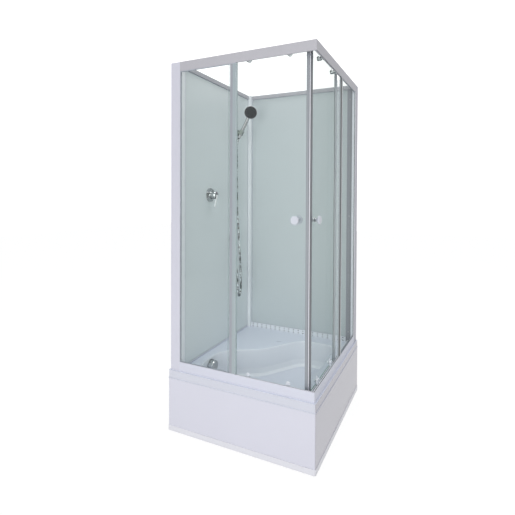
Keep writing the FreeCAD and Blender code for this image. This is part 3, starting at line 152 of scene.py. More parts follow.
class Finish:
    """One node tree, whose node method makes every node."""

    def __init__(self, name, holder=None):
        self.holder = holder or bpy.data.materials.new(name)
        self.holder.use_nodes = True
        self.tree = self.holder.node_tree
        self.tree.nodes.clear()

    def node(self, kind, sockets=None, out=0, **settings):
        """Add a node, with its settings first and then its sockets' values or links."""
        made = self.tree.nodes.new("ShaderNode" + kind)
        for name, value in settings.items():
            setattr(made, name, value)
        for name, value in (sockets or {}).items():
            if isinstance(value, Signal):
                self.tree.links.new(value.socket, made.inputs[name])
            elif isinstance(value, tuple) and len(value) == 3 and made.inputs[name].type == "RGBA":
                made.inputs[name].default_value = (*value, 1.0)
            else:
                made.inputs[name].default_value = value
        return Signal(self, made.outputs[out]) if made.outputs else None

    def mixed(self, factor, first, second):
        return self.node("Mix", {0: factor, 6: first, 7: second}, out=2, data_type="RGBA")

    def blended(self, factor, first, second):
        """One shader where the factor is nought, and the other where it is one."""
        return self.node("MixShader", {0: factor, 1: first, 2: second})

    def place(self):
        return self.node("TexCoord", out="Object")

    def axis(self, letter):
        return self.node("SeparateXYZ", {0: self.place()}, out=letter)

    def facing(self, letter):
        """How far the surface faces along one axis, from -1 to 1."""
        return self.node("SeparateXYZ", {0: self.node("NewGeometry", out="Normal")}, out=letter)

    def noise(self, scale, stretch=(1, 1, 1), detail=2.0):
        where = self.node("Mapping", {"Vector": self.place(), "Scale": stretch})
        return self.node("TexNoise", {"Vector": where, "Scale": scale, "Detail": detail}, out="Fac")

    def bump(self, height, distance, strength):
        return self.node("Bump", {"Height": height, "Distance": distance, "Strength": strength})

    def surface(self, **sockets):
        named = {name.replace("_", " ").title(): value for name, value in sockets.items()}
        return self.node("BsdfPrincipled", named)

    def close(self, shader):
        kind = "OutputWorld" if isinstance(self.holder, bpy.types.World) else "OutputMaterial"
        self.node(kind, {"Surface": shader})
        return self.holder


def seen_background(finish):
    """One for rays that show the background, nought for rays that light the object."""
    camera_ray = finish.node("LightPath", out="Is Camera Ray")
    glossy_ray = finish.node("LightPath", out="Is Glossy Ray")
    clear_ray = finish.node("LightPath", out="Is Transmission Ray")
    return (camera_ray + glossy_ray + clear_ray).clamped()


def studio_world():
    finish = Finish("surround", bpy.data.worlds.new("surround"))
    colour = finish.mixed(seen_background(finish), surround_colour, white)
    soft = finish.node("Background", {"Color": colour, "Strength": 1.0})
    plain = finish.node("Background", {"Color": white, "Strength": background_strength})
    camera_ray = finish.node("LightPath", out="Is Camera Ray")
    return finish.close(finish.blended(camera_ray, soft, plain))


def studio_floor():
    finish = Finish("studio_floor")
    matt = finish.node("BsdfDiffuse", {"Color": floor_matt})
    glowing = finish.node("Emission", {"Color": white, "Strength": floor_glow})
    own_light = seen_background(finish) * floor_own_light
    return finish.close(finish.blended(own_light, matt, glowing))


def lamp(name, place, target, size, power, colour):
    light = bpy.data.lights.new(name, "AREA")
    light.size = size
    light.energy = power
    light.color = colour
    lamp_object = bpy.data.objects.new(name, light)
    lamp_object.location = place
    direction = Vector(target) - Vector(place)
    lamp_object.rotation_euler = direction.to_track_quat("-Z", "Y").to_euler()
    scene.collection.objects.link(lamp_object)


def sheet(name, corners, material):
    """One flat sheet of the studio, which isn't part of the cabin."""
    mesh = bpy.data.meshes.new(name)
    mesh.from_pydata(corners, [], [(0, 1, 2, 3)])
    mesh.materials.append(material)
    flat = bpy.data.objects.new(name, mesh)
    scene.collection.objects.link(flat)
    return flat


def dark_card(name, x, y, width, height):
    """A nearly black card beside the cabin, for reflections alone."""
    finish = Finish(name)
    black = finish.close(finish.node("BsdfDiffuse", {"Color": card_black}))
    across = Vector((-y, x, 0)).normalized() * width / 2
    foot = Vector((x, y, card_foot))
    top = Vector((0, 0, height))
    corners = [foot - across, foot + across, foot + across + top, foot - across + top]
    card = sheet(name, corners, black)
    card.visible_camera = False
    card.visible_diffuse = False
    card.visible_shadow = False


scene.world = studio_world()
scene.view_settings.view_transform = "Standard"
lamp("key_lamp", (0.5, -4.4, 1.0), (0, 0, 0.7), size=2.6, power=77, colour=(1.0, 0.99, 0.985))
lamp("top_lamp", (-0.05, 0.05, 4.6), (-0.05, 0.05, 0), size=1.6, power=42, colour=(0.985, 0.995, 1.0))
floor_corners = [
    (x * floor_half, y * floor_half, floor_level) for x, y in ((-1, -1), (1, -1), (1, 1), (-1, 1))
]
sheet("floor", floor_corners, studio_floor())
dark_card("dark_card_left", x=-2.4, y=-2.9, width=1.4, height=3.0)
dark_card("dark_card_right", x=3.3, y=-0.9, width=1.6, height=3.0)


# Shower hose.
# A chromed steel hose of 14 mm hangs from the handset's nut in a long loop and comes up
# into the wall outlet. Its rings are pressed into a smooth wave, and its ends are plain.
hose_route = [
    (-0.34097, 0.15161, 1.76078),
    (-0.34784, 0.14563, 1.74076),
    (-0.3510, 0.1430, 1.7120),
    (-0.3515, 0.1435, 1.6600),
    (-0.3510, 0.1455, 1.5600),
    (-0.3505, 0.1470, 1.4000),
    (-0.3510, 0.1505, 1.2400),
    (-0.3505, 0.1700, 1.0950),
    (-0.3515, 0.1840, 0.9650),
    (-0.3525, 0.2000, 0.8600),
    (-0.3560, 0.2115, 0.7650),
    (-0.3575, 0.2145, 0.7200),
    (-0.3569, 0.2135, 0.6770),
    (-0.3506, 0.1957, 0.6500),
    (-0.3405, 0.1665, 0.6400),
    (-0.3304, 0.1373, 0.6490),
    (-0.3241, 0.1193, 0.6760),
    (-0.3230, 0.1140, 0.7350),
    (-0.3270, 0.1120, 0.8200),
    (-0.3360, 0.1050, 0.9000),
    (-0.3450, 0.1080, 0.9650),
    (-0.3500, 0.1220, 1.0020),
    (-0.3500, 0.1220, 1.0240),
]
hose_radius = 0.007
hose_ring_depth = 0.0009
hose_ring_pitch = 0.0041
hose_ring_sharpness = 1.6
hose_steps_per_ring = 6
hose_segments = 20
hose_line_steps = 24
hose_smooth_angle = 80


def mesh_of(name, made):
    made.normal_update()
    bmesh.ops.recalc_face_normals(made, faces=made.faces)
    mesh = bpy.data.meshes.new(name)
    made.to_mesh(mesh)
    made.free()
    return mesh


def add_piece(name, mesh, material, body, smooth_angle=40):
    """A new object that rides on one body, or is left to its own ties where that is None."""
    piece = bpy.data.objects.new(name, mesh)
    scene.collection.objects.link(piece)
    mesh.materials.append(material)
    mesh.shade_smooth()
    mesh.set_sharp_from_angle(angle=math.radians(smooth_angle))
    if body:
        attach(piece, body)
    return piece


def centreline(name, points, resolution):
    """Points along the smooth line that a route's points control."""
    line = bpy.data.curves.new(name, "CURVE")
    line.dimensions = "3D"
    line.resolution_u = resolution
    spline = line.splines.new("NURBS")
    spline.points.add(len(points) - 1)
    for control, point in zip(spline.points, points):
        control.co = (*point, 1.0)
    spline.order_u = 3
    spline.use_endpoint_u = True
    holder = bpy.data.objects.new(name, line)
    scene.collection.objects.link(holder)
    bpy.context.view_layer.update()
    mesh = bpy.data.meshes.new_from_object(holder)
    followed = [vert.co.copy() for vert in mesh.vertices]
    bpy.data.objects.remove(holder)
    bpy.data.curves.remove(line)
    bpy.data.meshes.remove(mesh)
    return followed


def even_points(points, step):
    """Points at even steps along a line, their directions and the line's length."""
    spans = [(b - a).length for a, b in zip(points, points[1:])]
    total = sum(spans)
    count = max(2, round(total / step))
    placed = []
    index, passed = 0, 0.0
    last = total - 1e-9
    for k in range(count + 1):
        target = min(total * k / count, last)
        while passed + spans[index] < target:
            passed += spans[index]
            index += 1
        share = (target - passed) / spans[index]
        placed.append(points[index].lerp(points[index + 1], share))
    ways = []
    for k in range(len(placed)):
        ways.append((placed[min(k + 1, count)] - placed[max(k - 1, 0)]).normalized())
    return placed, ways, total


def spokes(side, other, count):
    """Directions at even angles, in the plane of two crossing directions."""
    angles = [2 * math.pi * k / count for k in range(count)]
    return [side * math.cos(angle) + other * math.sin(angle) for angle in angles]


def ringed_tube(name, points, radius_at, step, segments):
    """A closed tube along a line, whose radius changes with the distance."""
    placed, ways, total = even_points(points, step)
    made = bmesh.new()
    side = Vector((1, 0, 0))
    rings = []
    for k, (point, way) in enumerate(zip(placed, ways)):
        side = (side - way * side.dot(way)).normalized()
        radius = radius_at(total * k / (len(placed) - 1), total)
        around = spokes(side, way.cross(side), segments)
        rings.append([made.verts.new(point + spoke * radius) for spoke in around])
    for first, second in zip(rings, rings[1:]):
        for j in range(segments):
            after = (j + 1) % segments
            made.faces.new((first[j], first[after], second[after], second[j]))
    made.faces.new(reversed(rings[0]))
    made.faces.new(rings[-1])
    return mesh_of(name, made), placed, total


def hose_profile(distance, total):
    """The hose's radius at a distance from its start, plain over each end."""
    end = 2 * hose_radius
    if distance < end or distance > total - end:
        return hose_radius - hose_ring_depth / 2
    wave = 0.5 + 0.5 * math.cos(2 * math.pi * distance / hose_ring_pitch)
    return hose_radius - hose_ring_depth * (1 - wave) ** hose_ring_sharpness


def hose_finish():
    finish = Finish("hose_steel")
    # Painted reflection: the colour is painted in strong dark and bright blotches for the dark gaps and
    # bright crests of the rings.
    tone = (finish.noise(scale=60.0) - 0.5) * 5.0 + 0.45
    colour = finish.mixed(tone, (0.10, 0.11, 0.115), (0.80, 0.82, 0.83))
    rough = finish.noise(scale=240.0) * 0.10 + 0.12
    return finish.close(finish.surface(base_color=colour, metallic=1.0, roughness=rough))


hose_line = centreline("hose_line", hose_route, hose_line_steps)
hose_mesh, hose_path, hose_length = ringed_tube(
    "hose", hose_line, hose_profile, hose_ring_pitch / hose_steps_per_ring, hose_segments
)
hose = add_piece("ribbed_hose", hose_mesh, hose_finish(), None, hose_smooth_angle)
[tuple(point) for point in hose_path[::6]] + [tuple(hose_path[-1])]
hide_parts("shower_hose")
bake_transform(hose)


# Tray and apron.
# The tray is white acrylic drawn over a mould, with a rolled rim band and a glossy, very
# slightly wavy skin. The apron and its plinth are bent from the same acrylic.
def linear(red, green, blue):
    """A colour seen on a screen, from 0 to 255, as light."""
    shares = [value / 255 for value in (red, green, blue)]
    return tuple(s / 12.92 if s <= 0.04045 else ((s + 0.055) / 1.055) ** 2.4 for s in shares)


def dimmed(colour, share):
    return tuple(c * share for c in colour)


def dress(names, material):
    """Give CAD nodes one material."""
    for name in names:
        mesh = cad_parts[name].data
        mesh.materials.clear()
        mesh.materials.append(material)


def acrylic_finish(name, colour, gloss, top=None, right=None):
    """Glossy moulded acrylic, with another tone painted on its level faces for how the light falls on them,
    and painted shade on the right side.
    """
    finish = Finish(name)
    cloud = finish.noise(scale=2.2)
    tint = finish.mixed(cloud, dimmed(colour, 0.965), colour)
    if top:
        tint = finish.mixed(finish.facing("Z") > 0.9, tint, top)
    if right:
        tint = finish.mixed(finish.facing("X") > 0.7, tint, right)
    wave = finish.noise(scale=9.0)
    rough = finish.noise(scale=14.0) * 0.05 + gloss
    return finish.close(
        finish.surface(
            base_color=tint,
            roughness=rough,
            coat_weight=0.25,
            coat_roughness=0.08,
            normal=finish.bump(wave, distance=0.0006, strength=0.12),
        )
    )


tray_gloss, sheet_gloss = 0.26, 0.28
# Painted light and shade: the deck's level faces are painted lighter for the light from above, and its right
# side darker for the shade there.
deck_painted_top_light, deck_painted_right_shade = linear(224, 228, 240), linear(188, 186, 195)
deck_acrylic = acrylic_finish("deck_acrylic", linear(210, 212, 222), tray_gloss, deck_painted_top_light, deck_painted_right_shade)
dress(["tray_deck"], deck_acrylic)
# Painted light: the basin is a lighter copy of the same acrylic, for the light that the glass and walls keep
# from it. Painted shade: its floor and shelf are painted darker.
basin_painted_level_shade = linear(224, 227, 237)
dress(["tray_basin"], acrylic_finish("basin_acrylic", linear(248, 250, 255), tray_gloss, basin_painted_level_shade))
# Painted shade: the apron's right side is painted darker.
apron_painted_right_shade = linear(198, 196, 204)
apron_gloss = acrylic_finish("apron_gloss", linear(216, 216, 227), sheet_gloss, None, apron_painted_right_shade)
dress(["apron_panel"], apron_gloss)
dress(["apron_plinth"], acrylic_finish("plinth_gloss", linear(226, 226, 232), sheet_gloss))


# Steel frame and feet.
# Square tubes, studs, nuts, brackets and screws are zinc plated, so they show a pale,
# cloudy metal. The feet and the apron's clips are moulded in light grey plastic.
def zinc_finish(name, bright):
    finish = Finish(name)
    flake = finish.noise(scale=160.0, detail=4.0)
    colour = finish.mixed(flake, dimmed(bright, 0.75), bright)
    rough = finish.noise(scale=60.0) * 0.25 + 0.30
    return finish.close(finish.surface(base_color=colour, metallic=0.85, roughness=rough))


def moulded_finish(name, colour, rough=0.45):
    """Moulded plastic or rubber with a faint cloud and a fine grain."""
    finish = Finish(name)
    cloud = finish.noise(scale=12.0)
    tint = finish.mixed(cloud, dimmed(colour, 0.93), colour)
    grain = finish.noise(scale=900.0)
    return finish.close(
        finish.surface(
            base_color=tint,
            roughness=finish.noise(scale=40.0) * 0.1 + rough,
            normal=finish.bump(grain, distance=0.0002, strength=0.35),
        )
    )


zinc = zinc_finish("zinc_plate", (0.55, 0.56, 0.57))
dress(["frame_perimeter_beams", "frame_cross_beams", "frame_uprights", "corner_brackets"], zinc)
dress(["foot_studs_and_nuts", "profile_screws"], zinc_finish("bright_zinc", (0.66, 0.66, 0.66)))
foot_plastic = moulded_finish("foot_plastic", linear(205, 206, 208))
dress(["foot_pads", "apron_clips"], foot_plastic)


# Waste.
# The trap and the overflow pipe are white moulded plastic. Upright ribs stiffen the
# trap's wall and give a grip on it, apart from where the two pipes join.
trap_place = (-0.190, -0.2148)
trap_radius = 0.036
trap_low, trap_high = 0.088, 0.150
rib_count = 20
rib_root, rib_height, rib_half_width = 0.001, 0.0018, 0.0016
rib_taper = 0.6
# The spigot leaves the trap towards the back wall, and the overflow pipe on its left.
spigot_side, overflow_side = 0.6, -0.9


def prism(made, outline, low_z, high_z):
    """Add an upright prism from the outline of its section."""
    bottom = [made.verts.new((x, y, low_z)) for x, y in outline]
    top = [made.verts.new((x, y, high_z)) for x, y in outline]
    for k in range(len(outline)):
        after = (k + 1) % len(outline)
        made.faces.new((bottom[k], bottom[after], top[after], top[k]))
    made.faces.new(bottom)
    made.faces.new(top)


def drawn_piece(name, draw, material, body):
    """A new piece from a function that adds its shape to an empty mesh."""
    made = bmesh.new()
    draw(made)
    add_piece(name, mesh_of(name, made), material, body)


def draw_trap_ribs(made):
    for k in range(rib_count):
        angle = 2 * math.pi * k / rib_count
        x, y = math.cos(angle), math.sin(angle)
        if y > spigot_side or x < overflow_side:
            continue
        side = Vector((-y, x, 0)) * rib_half_width
        inner, outer = (
            Vector((trap_place[0] + x * reach, trap_place[1] + y * reach, 0))
            for reach in (trap_radius - rib_root, trap_radius + rib_height)
        )
        outline = [inner - side, outer - side * rib_taper, outer + side * rib_taper, inner + side]
        prism(made, [(p.x, p.y) for p in outline], trap_low, trap_high)


waste_plastic = moulded_finish("waste_plastic", linear(228, 228, 226))
dress(["drain_trap", "overflow_pipe"], waste_plastic)
drawn_piece("trap_ribs", draw_trap_ribs, waste_plastic, "cabin")


# Aluminium profiles.
# Posts, rails and wall channels are extruded aluminium under a satin, faintly lilac
# white coat. Fine die lines run along each of them.
def profile_finish(name, colour, stretch, side=None, edge=None):
    """Satin coat, with a lighter tone painted as light or a darker one painted as shade on the faces to one
    side, and another tone short of a line: painted shade on the rear right post, and the gasket's own grey
    on the pane gaskets.
    """
    finish = Finish(name)
    lines = finish.noise(scale=420.0, stretch=stretch, detail=3.0)
    cloud = finish.noise(scale=5.0)
    tint = finish.mixed(lines, dimmed(colour, 0.95), colour)
    if side:
        letter, way, other = side
        tint = finish.mixed(finish.facing(letter) * way > 0.5, tint, other)
    if edge:
        letter, limit, other = edge
        tint = finish.mixed(finish.axis(letter) * -1 > -limit, tint, other)
    rough = cloud * 0.08 + lines * 0.08 + 0.38
    return finish.close(
        finish.surface(
            base_color=tint,
            metallic=0.08,
            roughness=rough,
            coat_weight=0.1,
            coat_roughness=0.25,
            normal=finish.bump(lines, distance=0.0001, strength=0.3),
        )
    )


along_post, along_front, along_side = (1, 1, 0.01), (0.01, 1, 1), (1, 0.01, 1)
# Most of these tones are painted light and painted shade on one satin coat. The top rails are painted
# darker, and the rear right post is a darker copy with its face towards the front painted lighter and a
# painted shade on its inner part. The left post's inner side, the corner post, the wall channels and the
# back wall's vent rail are painted lighter, the wall channels' faces towards the front are painted darker,
# and the sills' top faces carry a painted highlight.
rail_painted_shade = linear(188, 187, 193)
sill_colour = linear(214, 216, 228)
inner_painted_light = linear(250, 252, 255)
lit_side = ("Y", -1, linear(246, 246, 253))
painted_shade_edge = ("X", 0.4145, linear(150, 150, 158))
painted_light_side = ("X", 1, linear(252, 253, 255))
shaded_side = ("Y", -1, linear(160, 161, 168))
painted_highlight_top = ("Z", 1, linear(255, 255, 255))
profile_looks = (
    ("right_post", ["post_rear_right"], linear(183, 183, 193), along_post, lit_side, painted_shade_edge),
    ("left_post", ["post_front_left"], linear(213, 213, 224), along_post, painted_light_side, None),
    ("corner", ["post_rear_corner"], inner_painted_light, along_post, None, None),
    ("wall_edge", ["wall_edge_profiles"], inner_painted_light, along_post, shaded_side, None),
    ("top_front", ["top_rail_front"], rail_painted_shade, along_front, None, None),
    ("top_side", ["top_rail_right", "wall_top_rails"], rail_painted_shade, along_side, None, None),
    ("sill_front", ["bottom_rail_front"], sill_colour, along_front, painted_highlight_top, None),
    ("vent_rail", ["wall_bottom_rail_back"], linear(246, 248, 253), along_front, None, None),
    ("sill_side", ["bottom_rail_right", "wall_bottom_rail_left"], sill_colour, along_side, painted_highlight_top, None),
)
for look_name, profile_names, *look_values in profile_looks:
    dress(profile_names, profile_finish(look_name + "_profile", *look_values))


# Vents of the back wall's foot.
# Two rows of small dark rubber eyelets in the rail let the air out from behind the wall.
eyelet_pitch, eyelet_first, eyelet_count = 0.037, -0.3415, 20
eyelet_levels = (0.359, 0.377)
eyelet_face = 0.3775
eyelet_profile = [
    (0.0, 0.0),
    (0.0, 0.0021),
    (0.0007, 0.0023),
    (0.0007, 0.0031),
    (0.0, 0.0036),
    (-0.0012, 0.0036),
    (-0.0012, 0.0),
]


def spun(made, profile, base, axis, segments):
    """Add a solid of revolution; profile lists (distance along the axis, radius)."""
    axis = Vector(axis).normalized()
    side = axis.orthogonal().normalized()
    around = spokes(side, axis.cross(side), segments)
    rings = []
    for along, radius in profile:
        centre = Vector(base) + axis * along
        if radius == 0:
            rings.append([made.verts.new(centre)])
        else:
            rings.append([made.verts.new(centre + spoke * radius) for spoke in around])
    for first, second in zip(rings, rings[1:]):
        for k in range(segments):
            after = (k + 1) % segments
            if len(first) == 1:
                made.faces.new((first[0], second[k], second[after]))
            elif len(second) == 1:
                made.faces.new((first[k], second[0], first[after]))
            else:
                made.faces.new((first[k], second[k], second[after], first[after]))


def draw_eyelets(made):
    for k in range(eyelet_count):
        for level in eyelet_levels:
            place = (eyelet_first + k * eyelet_pitch, eyelet_face, level)
            spun(made, eyelet_profile, place, (0, -1, 0), segments=14)


dark_rubber = moulded_finish("dark_rubber", linear(44, 50, 60), rough=0.6)
drawn_piece("vent_eyelets", draw_eyelets, dark_rubber, "cabin")


# Glass.
# The front and right panes are clear toughened glass with a faint green tint, which shows
# most in their polished edges. The wall panes are painted grey-green on their backs.
clear_tint, slanted_tint = (0.975, 0.990, 0.986), (0.78, 0.81, 0.80)
edge_green = linear(126, 160, 150)
paint_dim, paint_pale = linear(176, 184, 185), linear(186, 194, 195)


def clear_glass_finish(name, axis):
    """Clear glass, whose faces look along one axis and whose edges don't."""
    finish = Finish(name)
    straight = finish.node("BsdfTransparent", {"Color": clear_tint})
    slanted = finish.node("BsdfTransparent", {"Color": slanted_tint})
    gloss = finish.node("BsdfGlossy", {"Color": white, "Roughness": 0.02})
    slant = finish.node("LayerWeight", {"Blend": 0.5}, out="Facing")
    through = finish.blended(slant ** 2.0, straight, slanted)
    streaks = finish.noise(scale=3.0, stretch=(1, 1, 0.3), detail=3.0)
    outside = 1.0 - finish.node("NewGeometry", out="Backfacing")
    share = ((slant ** 5.0) * 0.10 + streaks * 0.010 + 0.006) * outside
    face = finish.blended(share, through, gloss)
    edge = finish.surface(base_color=edge_green, roughness=0.12, coat_weight=0.4)
    on_edge = abs(finish.facing(axis)) < 0.5
    return finish.close(finish.blended(on_edge, face, edge))


def painted_glass_finish(name, shade, axis, back):
    """Glass that shows its paint from inside, and the matt paint itself on its back."""
    finish = Finish(name)
    cloud = finish.noise(scale=1.3)
    face = finish.surface(
        base_color=finish.mixed(cloud, dimmed(shade, 0.96), shade),
        roughness=finish.noise(scale=6.0) * 0.04 + 0.30,
        coat_weight=0.2,
        coat_roughness=0.12,
    )
    peel = finish.noise(scale=260.0)
    paint = finish.mixed(finish.noise(scale=9.0), paint_dim, paint_pale)
    matt = finish.surface(
        base_color=paint, roughness=0.62, normal=finish.bump(peel, distance=0.0003, strength=0.5)
    )
    behind = (finish.facing(axis) * back) > 0.5
    return finish.close(finish.blended(behind, face, matt))


dress(["fixed_glass_front", "door_glass_front"], clear_glass_finish("clear_glass_front", "Y"))
dress(["fixed_glass_right", "door_glass_right"], clear_glass_finish("clear_glass_right", "X"))
# Painted light: the left pane's paint is a lighter copy of the back pane's, for the light that reaches it
# less.
dress(["wall_panel_left"], painted_glass_finish("painted_glass_left", linear(229, 235, 236), "X", -1))
dress(["wall_panel_back"], painted_glass_finish("painted_glass_back", linear(206, 213, 215), "Y", 1))


# Glazing gaskets.
# Soft grey wedges hold the fixed panes in their post and rails from both faces; beside the rear right post
# they are painted nearly white, as painted light.
# Thin grey strips run round the two wall panes.
cabin_twice = ("cabin", "cabin")
glazing_round, wall_gasket_round = 0.0006, 0.0005
# A bar of a frame stops this far short of the one it meets.
bar_gap = 0.0002


def bar(made, low, high, round_by):
    """Add a straight bar between two corners, with its edges rounded."""
    cube = bmesh.ops.create_cube(made, size=1.0)["verts"]
    low, high = Vector(low), Vector(high)
    for vert in cube:
        vert.co = Vector(low[i] + (vert.co[i] + 0.5) * (high[i] - low[i]) for i in range(3))
    edges = list({edge for vert in cube for edge in vert.link_edges})
    bmesh.ops.bevel(made, geom=edges, offset=round_by, segments=2, affect="EDGES")


def mirror_across_corner(made):
    """Turn a shape of the front or the left into its twin on the right or at the back."""
    for vert in made.verts:
        vert.co = (-vert.co.y, -vert.co.x, vert.co.z)


def corner_pair(name, draw, material, bodies):
    """A piece of the front and its mirror image on the right."""
    for side, body in zip(("front", "right"), bodies):
        made = bmesh.new()
        draw(made)
        if side == "right":
            mirror_across_corner(made)
        side_name = f"{name}_{side}"
        add_piece(side_name, mesh_of(side_name, made), material, body)


def draw_glazing(made):
    post, seal_end = -0.376, -0.0105
    low, high = 0.404, 2.058
    head_width, foot_width = 0.0034, 0.0026
    for near, far, lip in ((-0.4375, -0.4355, 0.0048), (-0.4315, -0.4283, 0.0056)):
        start = post + lip + bar_gap
        bar(made, (post, near, low), (post + lip, far, high), glazing_round)
        bar(made, (start, near, high - head_width), (seal_end, far, high), glazing_round)
        bar(made, (start, near, low), (seal_end, far, low + foot_width), glazing_round)


def draw_wall_gaskets(made, foot):
    """Gaskets of the left wall; the back wall's are their mirror image."""
    face, proud = -0.385, -0.3832
    near, near_inner, far_inner, far = -0.380, -0.3775, 0.3568, 0.360
    foot_inner, head_inner, head = foot + 0.0030, 2.0812, 2.0850
    bar(made, (face, near, head_inner), (proud, far, head), wall_gasket_round)
    bar(made, (face, near, foot), (proud, far, foot_inner), wall_gasket_round)
    bar(made, (face, far_inner, foot_inner), (proud, far, head_inner), wall_gasket_round)
    bar(made, (face, near, foot_inner), (proud, near_inner, head_inner), wall_gasket_round)


gasket_tone = linear(188, 192, 201)
gasket_grey = moulded_finish("gasket_grey", gasket_tone, rough=0.5)
gasket_own_grey_zone = ("Y", 0.365, gasket_tone)
# Painted light: the pane gaskets are painted nearly white beside the rear right post, and keep their own
# grey elsewhere.
pane_gasket_painted_light = profile_finish("pane_gasket_painted_light", linear(248, 249, 253), along_post, None, gasket_own_grey_zone)
corner_pair("glazing_gasket", draw_glazing, pane_gasket_painted_light, cabin_twice)
for wall, wall_foot in (("left", 0.362), ("back", 0.384)):
    wall_made = bmesh.new()
    draw_wall_gaskets(wall_made, wall_foot)
    if wall == "back":
        mirror_across_corner(wall_made)
    wall_name = f"wall_gasket_{wall}"
    add_piece(wall_name, mesh_of(wall_name, wall_made), gasket_grey, "cabin")


# Seals.
# Cloudy vinyl strips are pushed over the panes' upright edges, and a door's have a thin
# clear fin towards the fixed pane. At the entry corner they hold magnets in white sleeves.
doors = ("door_front", "door_right")
seal_low, seal_high = 0.3695, 2.0975
cap_low, cap_high = 2.0500, 2.0590
lip_near, lip_far, lip_round = -0.3962, -0.3888, 0.0004
# Past this distance from the cabin's middle only the fin is left of a door's seal.
fin_start = 0.3975


def vinyl_finish(name, tone, zones=(), fin=None):
    """Vinyl of one tone, with other tones past some lines and a thin fin beyond the glass."""
    finish = Finish(name)
    ridges = finish.noise(scale=700.0, stretch=along_post)
    for letter, side, limit, other in zones:
        tone = finish.mixed(finish.axis(letter) * side > limit, tone, other)
    body = finish.surface(
        base_color=finish.mixed(ridges * 0.12, tone, (0.1, 0.1, 0.1)),
        roughness=finish.noise(scale=30.0) * 0.1 + 0.32,
        normal=finish.bump(ridges, distance=0.0001, strength=0.3),
    )
    if fin is None:
        return finish.close(body)
    letter, side = fin
    skin = finish.surface(base_color=linear(238, 243, 246), roughness=0.3)
    through = finish.node("BsdfTransparent", {"Color": (0.97, 0.98, 0.98)})
    film = finish.blended(0.9 - ridges * 0.1, skin, through)
    thin = finish.axis(letter) * side > fin_start
    return finish.close(finish.blended(thin, body, film))


def draw_fixed_lips(made):
    """Lip on the nose of the fixed pane's seal."""
    bar(made, (-0.0108, -0.4371, 0.4045), (-0.0098, -0.4259, 2.0575), lip_round)


def draw_magnet_lips(made):
    """Dark outer lip of the magnet strip, and the line of the glass edge in it."""
    for start, end in ((0.3713, 0.3727), (0.3840, 0.3915)):
        bar(made, (start, lip_near, seal_low), (end, lip_far, seal_high), lip_round)


def draw_magnet_sleeve(made):
    outline = [(0.3918, -0.39620), (0.3956, -0.39620), (0.3918, -0.39240)]
    prism(made, outline, seal_low, seal_high)


def draw_magnet_caps(made):
    """End caps of the magnet strips under the top rail."""
    outline = [(0.3708, -0.3966), (0.3959, -0.3966), (0.3881, -0.3884), (0.3708, -0.3884)]
    prism(made, outline, cap_low, cap_high)


# Each zone is an axis, a sign along it, a limit, and the tone past that limit. One limit parts the right
# side from the front, and a door's magnet strip from its other seal. Most of the other tones here are
# painted light and painted shade on one vinyl.
strip_limit = 0.2
front_vinyl = linear(160, 163, 171)
# Painted light: the right door's vinyl is a lighter copy of the front's.
right_vinyl_painted_light = linear(224, 230, 233)
sleeve_white = linear(240, 240, 246)
magnet_grey = linear(152, 157, 163)
# Painted shade: a darker copy of the magnet strip's grey, for the right door's strip and the sleeves' outer
# tips.
magnet_painted_shade = linear(104, 108, 114)
corner_tone = linear(120, 124, 131)
# Painted shade: the lips' noses are painted darker on the right, and nearly black at their outer edge.
nose_painted_shade_zones = [("X", 1, strip_limit, linear(168, 174, 178)), ("X", 1, 0.4345, linear(50, 56, 58))]
corner_zones = [("X", 1, 0.3884, sleeve_white), ("Y", 1, -0.3920, corner_tone)]
sleeve_painted_shade_zones = [("X", 1, 0.3930, magnet_painted_shade)]
# Painted light and shade: the fixed seals' noses are painted lighter on the front and nearly black on the
# right, and their right back halves lighter.
fixed_painted_light_shade_zones = [
    ("X", 1, -0.030, linear(165, 177, 181)),
    ("X", 1, strip_limit, linear(52, 58, 60)),
    ("Y", 1, 0.026, linear(186, 192, 196)),
]
# Painted light: the front fins and the right seals' inner edges are painted lighter. Painted shade: the
# right door's magnet strip is painted darker.
front_magnet_and_painted_light_zones = [("X", 1, -0.045, linear(226, 238, 240)), ("X", 1, strip_limit, magnet_grey)]
right_painted_light_shade_zones = [("X", -1, -0.3897, linear(250, 254, 255)), ("Y", -1, strip_limit, magnet_painted_shade)]
line_vinyl = vinyl_finish("line_vinyl", linear(150, 154, 162))
# Painted light: the lips' noses are a lighter copy of the vinyl, with the painted shade of their zones.
nose_vinyl_painted_light_and_shade = vinyl_finish("nose_vinyl_painted_light_and_shade", linear(214, 228, 230), nose_painted_shade_zones)
corner_vinyl = vinyl_finish("corner_vinyl", corner_tone, corner_zones)
sleeve_vinyl = vinyl_finish("sleeve_vinyl", sleeve_white, sleeve_painted_shade_zones)
dress(["fixed_glass_seals"], vinyl_finish("cloudy_vinyl", front_vinyl, fixed_painted_light_shade_zones))
dress(["door_seals_front"], vinyl_finish("front_door_vinyl", front_vinyl, front_magnet_and_painted_light_zones, ("Y", -1)))
dress(["door_seals_right"], vinyl_finish("right_door_vinyl", right_vinyl_painted_light, right_painted_light_shade_zones, ("X", 1)))
corner_pair("fixed_seal_lips", draw_fixed_lips, nose_vinyl_painted_light_and_shade, cabin_twice)
corner_pair("magnet_lips", draw_magnet_lips, corner_vinyl, doors)
corner_pair("magnet_sleeve", draw_magnet_sleeve, sleeve_vinyl, doors)
corner_pair("magnet_cap", draw_magnet_caps, line_vinyl, doors)


